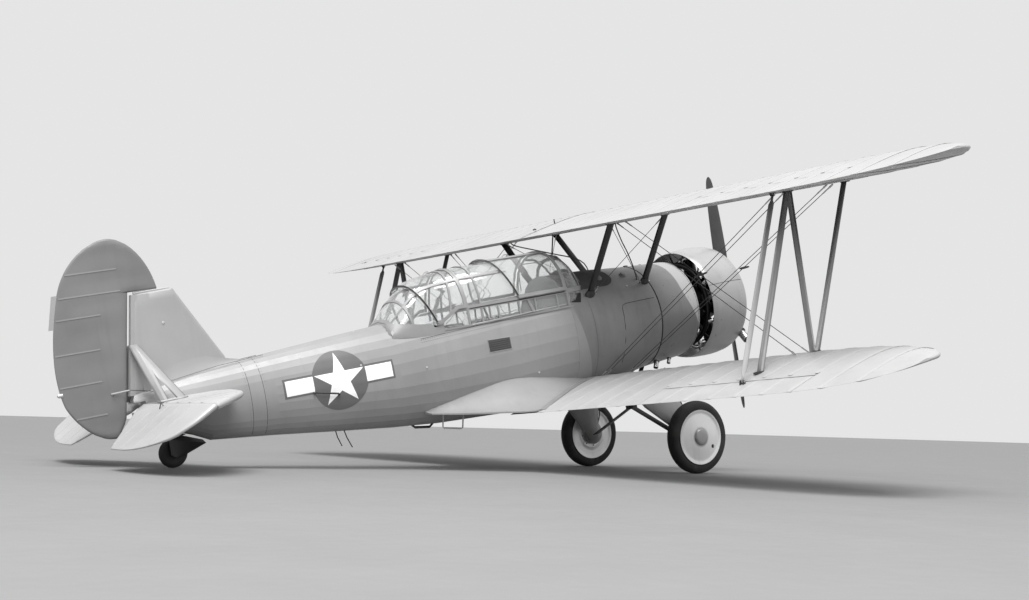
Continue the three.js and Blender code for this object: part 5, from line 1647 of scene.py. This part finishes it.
steps.bar([on_side(x, z, STARBOARD, lift) for x, z, lift in GRIP], 0.0085)
for rod in RODS:
    steps.bar([(x, -0.03, z) for x, z in rod], 0.0055)
steps.make("steps_and_handles", "cable_steel pale_line", "fork_steel")

TANK_CAP = [(-0.01, 0), (-0.01, 0.04), (0.006, 0.04), (0.01, 0.034), (0.01, 0.03), (0.02, 0.03),
            (0.024, 0.026), (0.025, 0)]
caps = Form()
for _, side in SIDES:
    for x in (-2.06, -1.72):
        caps.turned(TANK_CAP, *below(fuselage_tree, x, side * 0.3), 24)
for x, height, size in ((-1.41, 0.014, 0.03), (-1.2, 0.006, 0.018)):
    dome = [(-0.01, 0), (-0.01, size), (height * 0.6, size * 0.9), (height, size * 0.5), (height, 0)]
    caps.turned(dome, *below(fuselage_tree, x, 0), 20)
caps.make("tank_caps", "nose_paint", "nose_paint")

top_bits = Form().bar([(-2.285, 0, 1.01), (-2.29, 0, 1.14)], [0.009, 0.006])
top_bits.turned([(0, 0), (0, 0.02), (0.012, 0.018), (0.02, 0)], (-2.565, 0, 1.052), (0, 0, 1), 16)
top_bits.make("wing_top_fittings", "cable_steel", "fork_steel")

HOLLOW_PIPE = [(0, 0), (0, 0.034), (0.125, 0.038), (0.128, 0.036), (0.128, 0.032), (0.075, 0.03), (0.075, 0)]
COLLAR = [(0.012, 0.034), (0.012, 0.046), (0.024, 0.046), (0.024, 0.034)]
pipes = Form()
for start, way, size in (((-0.215, -0.395, -0.43), (-0.1, -0.5, -0.42), 1.25),
                         ((-1.42, -0.285, -0.56), (-0.35, -0.2, -0.5), 0.72),
                         ((-1.235, -0.285, -0.56), (-0.35, -0.2, -0.5), 0.55),
                         ((-2.11, -0.27, -0.59), (-0.3, -0.5, -0.3), 0.5)):
    for mark, profile in enumerate((HOLLOW_PIPE, COLLAR)):
        pipes.turned([(along * size, r * size) for along, r in profile], start, way, 24, mark)
pipes.make("outlet_pipes", "bright_steel cable_steel", "engine_metal")

# %% [markdown]
# ## The root walkway strip
#
# Beside the fairing a dull strip is laid on the lower wing in one long curve. Its guide line is
# the fairing's own rim, moved outboard and dropped onto the wing from above.

# %% Root strips
strips = []
for name, side in SIDES:
    wing_tree = level_tree("lower_wing_" + name)
    rim = sweep_rows([row[:2] for row in FAIRING[:3]], 12)
    dropped = [below(wing_tree, x, side * (outer + 0.04))[0] for x, outer in rim[1:]]
    strips.append([place + at(0, 0, 0.0035) for place in dropped if place is not None])
grow("root_strips", tape_tree, strips, "strip_grey", "wing_dope", Width=0.07, Height=0.014)

# %% [markdown]
# ## Canopy trim
#
# Bent strips edge both hoods. A dark one at each hood's rear edge is the plainest line of the
# canopy, and a dark rail with a bright strip above it runs along the sill where the hoods
# slide. The lines are found by aiming at the solids from all round, in the hoop's own plane.
# Round the foot of the rear panes goes a low apron of sheet metal, shaped by the glass under it.

# %% Canopy trim
def hoop(tree, top, foot, start=4):
    """A line over the canopy, from a turn above level on one side to the same on the other."""
    base, rise = at(foot[0], 0, foot[1]), at(top[0] - foot[0], 0, top[1] - foot[1]).normalized()
    path = []
    for turn in map(math.radians, between(start, 180 - start, 29)):
        way = at(0, math.cos(turn), 0) + rise * math.sin(turn)
        place = drop(tree, base + way * 1.5, -way)[0]
        if place is not None:
            path.append(place + way * 0.001)
    return path


HOODS = {"front_hood": ((-3.337, 0.806), (-3.197, 0.388)), "rear_hood": ((-4.312, 0.7), (-4.142, 0.273))}
HANDLE_LIFTS = (-0.002, 0.018, 0.022, 0.018, -0.002)
for body, (top, foot) in HOODS.items():
    tree, handle = level_tree(body + "_frame", body + "_glass"), []
    for k, lift in enumerate(HANDLE_LIFTS):
        handle.append(below(tree, top[0] + 0.3 + 0.02 * k, 0)[0] + at(0, 0, lift))
    hood_trim = Form().bar(hoop(tree, top, foot), 0.0065).bar(handle, 0.005, 8, 1)
    hood_trim.make(body + "_trim", "dark_line bright_steel", "canopy_frame_paint", body)

APRON_X, APRON_TOP, APRON_STEP = -4.25, 0.382, 0.026
APRON_OUTSIDE, APRON_INSIDE = 0.0145, 0.01
rear_glass, rings = level_tree("canopy_fixed_glass"), []
for degrees in between(-116, 116, 49):
    way = at(-math.cos(math.radians(degrees)), math.sin(math.radians(degrees)), 0)
    found = []
    for j in range(6):
        middle = at(APRON_X, 0, APRON_TOP - 0.001 * abs(degrees) - APRON_STEP * j)
        place, normal = drop(rear_glass, middle + way * 1.5, -way)
        if place is None or (place - middle).dot(way) < 0:     # below the glass it runs on downwards
            place, normal = last[0] - at(0, 0, APRON_STEP), last[1]
        last = place, normal
        found.append(last)
    rings.append([p + n * APRON_OUTSIDE for p, n in found] + [p + n * APRON_INSIDE for p, n in found[::-1]])
Form().add(loft(rings)).make("canopy_apron", "body_paint", "body_paint")

RAILS = ((0.3715, 0.3715, 0.005), (0.212, 0.242, 0.0045))          # rear and front height, radius
fixed_tree = level_tree("canopy_fixed_frame", "canopy_fixed_glass")
trim = Form().bar(hoop(fixed_tree, (-2.64, 0.82), (-2.56, 0.4), 6), 0.0055, 8, 2)
for _, side in SIDES:
    for mark, (rear, front, radius) in enumerate(RAILS):
        trim.bar(side_row((-3.77, rear), (-2.64, front), 13, side, 0, fixed_tree), radius, 6, mark)
trim.make("canopy_fixed_trim", "dark_line pale_line canopy_frame_paint", "canopy_frame_paint")

# %% [markdown]
# ## Inside the cockpits
#
# Through the clear panes show the sticks, the throttle levers, the belts over the seat backs
# and the dials. Each dial is a bezel ring with a pale face set back in it.

# %% Cockpit fittings
LEVER_BOX = ((-0.07, -0.05), (0.07, -0.05), (0.06, 0.03), (0, 0.05), (-0.06, 0.03))
LEVER_KNOB = [(-0.012, 0), (-0.01, 0.011), (0.01, 0.011), (0.012, 0)]
BEZEL = [(-0.004, 0), (-0.004, 0.042), (0.008, 0.042), (0.01, 0.038), (0.004, 0.035), (0.004, 0)]
DIAL_FACE = [(0, 0), (0, 0.0345), (0.0048, 0.0345), (0.0048, 0)]
DIAL_ROWS = ((0.1, (-0.21, -0.105, 0, 0.105, 0.21)), (-0.005, (-0.155, -0.05, 0.055, 0.16)))


def ribbon(path, across, width, thickness):
    path, wide, rings = [Vector(p) for p in path], Vector(across) * width / 2, []
    for i, p in enumerate(path):
        along = (path[min(i + 1, len(path) - 1)] - path[max(i - 1, 0)]).normalized()
        deep = along.cross(Vector(across)).normalized() * thickness / 2
        rings.append([p - wide - deep, p + wide - deep, p + wide + deep, p - wide + deep])
    return loft(rings)


cockpit = Form()
for back, stick in ((-3.21, -2.88), (-3.98, -3.645)):
    cockpit.bar([(stick, 0, -0.5), (stick + 0.01, 0, -0.2), (stick - 0.02, 0, 0.02)], 0.011, 10)
    cockpit.bar([(stick - 0.019, 0, 0.01), (stick - 0.024, 0, 0.05), (stick - 0.034, 0, 0.11)],
                [0.015, 0.019, 0.016], 12, 1)
    for y in (-0.09, 0.09):
        belt = [(back - 0.14, y, 0.12), (back - 0.105, y, 0.232), (back - 0.06, y, 0.232),
                (back + 0.02, y, 0.1), (back + 0.06, y, -0.06), (back + 0.14, y * 1.4, -0.15)]
        cockpit.add(ribbon(sweep_rows(belt, 4), (0, 1, 0), 0.044, 0.004), 2)
    levers = at(stick + 0.03, 0.385, 0.04)
    cockpit.add(loft([[levers + at(x, y, z) for x, z in LEVER_BOX] for y in (-0.013, 0.015)]), 1)
    for shift in (-0.02, 0.02):
        cockpit.bar([levers + at(shift, -0.004, 0), levers + at(shift * 2, -0.02, 0.1)], 0.005)
        cockpit.turned(LEVER_KNOB, levers + at(shift * 2, -0.02, 0.108), (0, 1, 0), 12)
cockpit.make("cockpit_fittings", "bright_steel panel_black belt_webbing", "seat_paint")

dials = Form()
for node, x in (("front_instrument_panel", -2.9), ("rear_instrument_panel", -3.64)):
    panel_tree = level_tree(node)
    for z, ys in DIAL_ROWS:
        for place in [drop(panel_tree, (x, y, z), AHEAD)[0] for y in ys]:
            if place is not None:
                dials.turned(BEZEL, place, -AHEAD, 28).turned(DIAL_FACE, place, -AHEAD, 28, 1)
                needle = [place + at(-0.0062, -0.004, -0.006), place + at(-0.0062, 0.012, 0.024)]
                dials.add(ribbon(needle, AHEAD, 0.0015, 0.003), 2)
dials.make("instrument_dials", "panel_black dial_face marking_white", "panel_black")

# %% [markdown]
# ## Size
#
# Both boxes, the solids' and the dressed aircraft's, are printed side by side. The
# dressed aircraft may not outgrow its solids.

# %% Finish
size = {"cad": [list(c) for c in cad_box], "visual": [list(c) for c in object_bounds()]}
print("size", size)
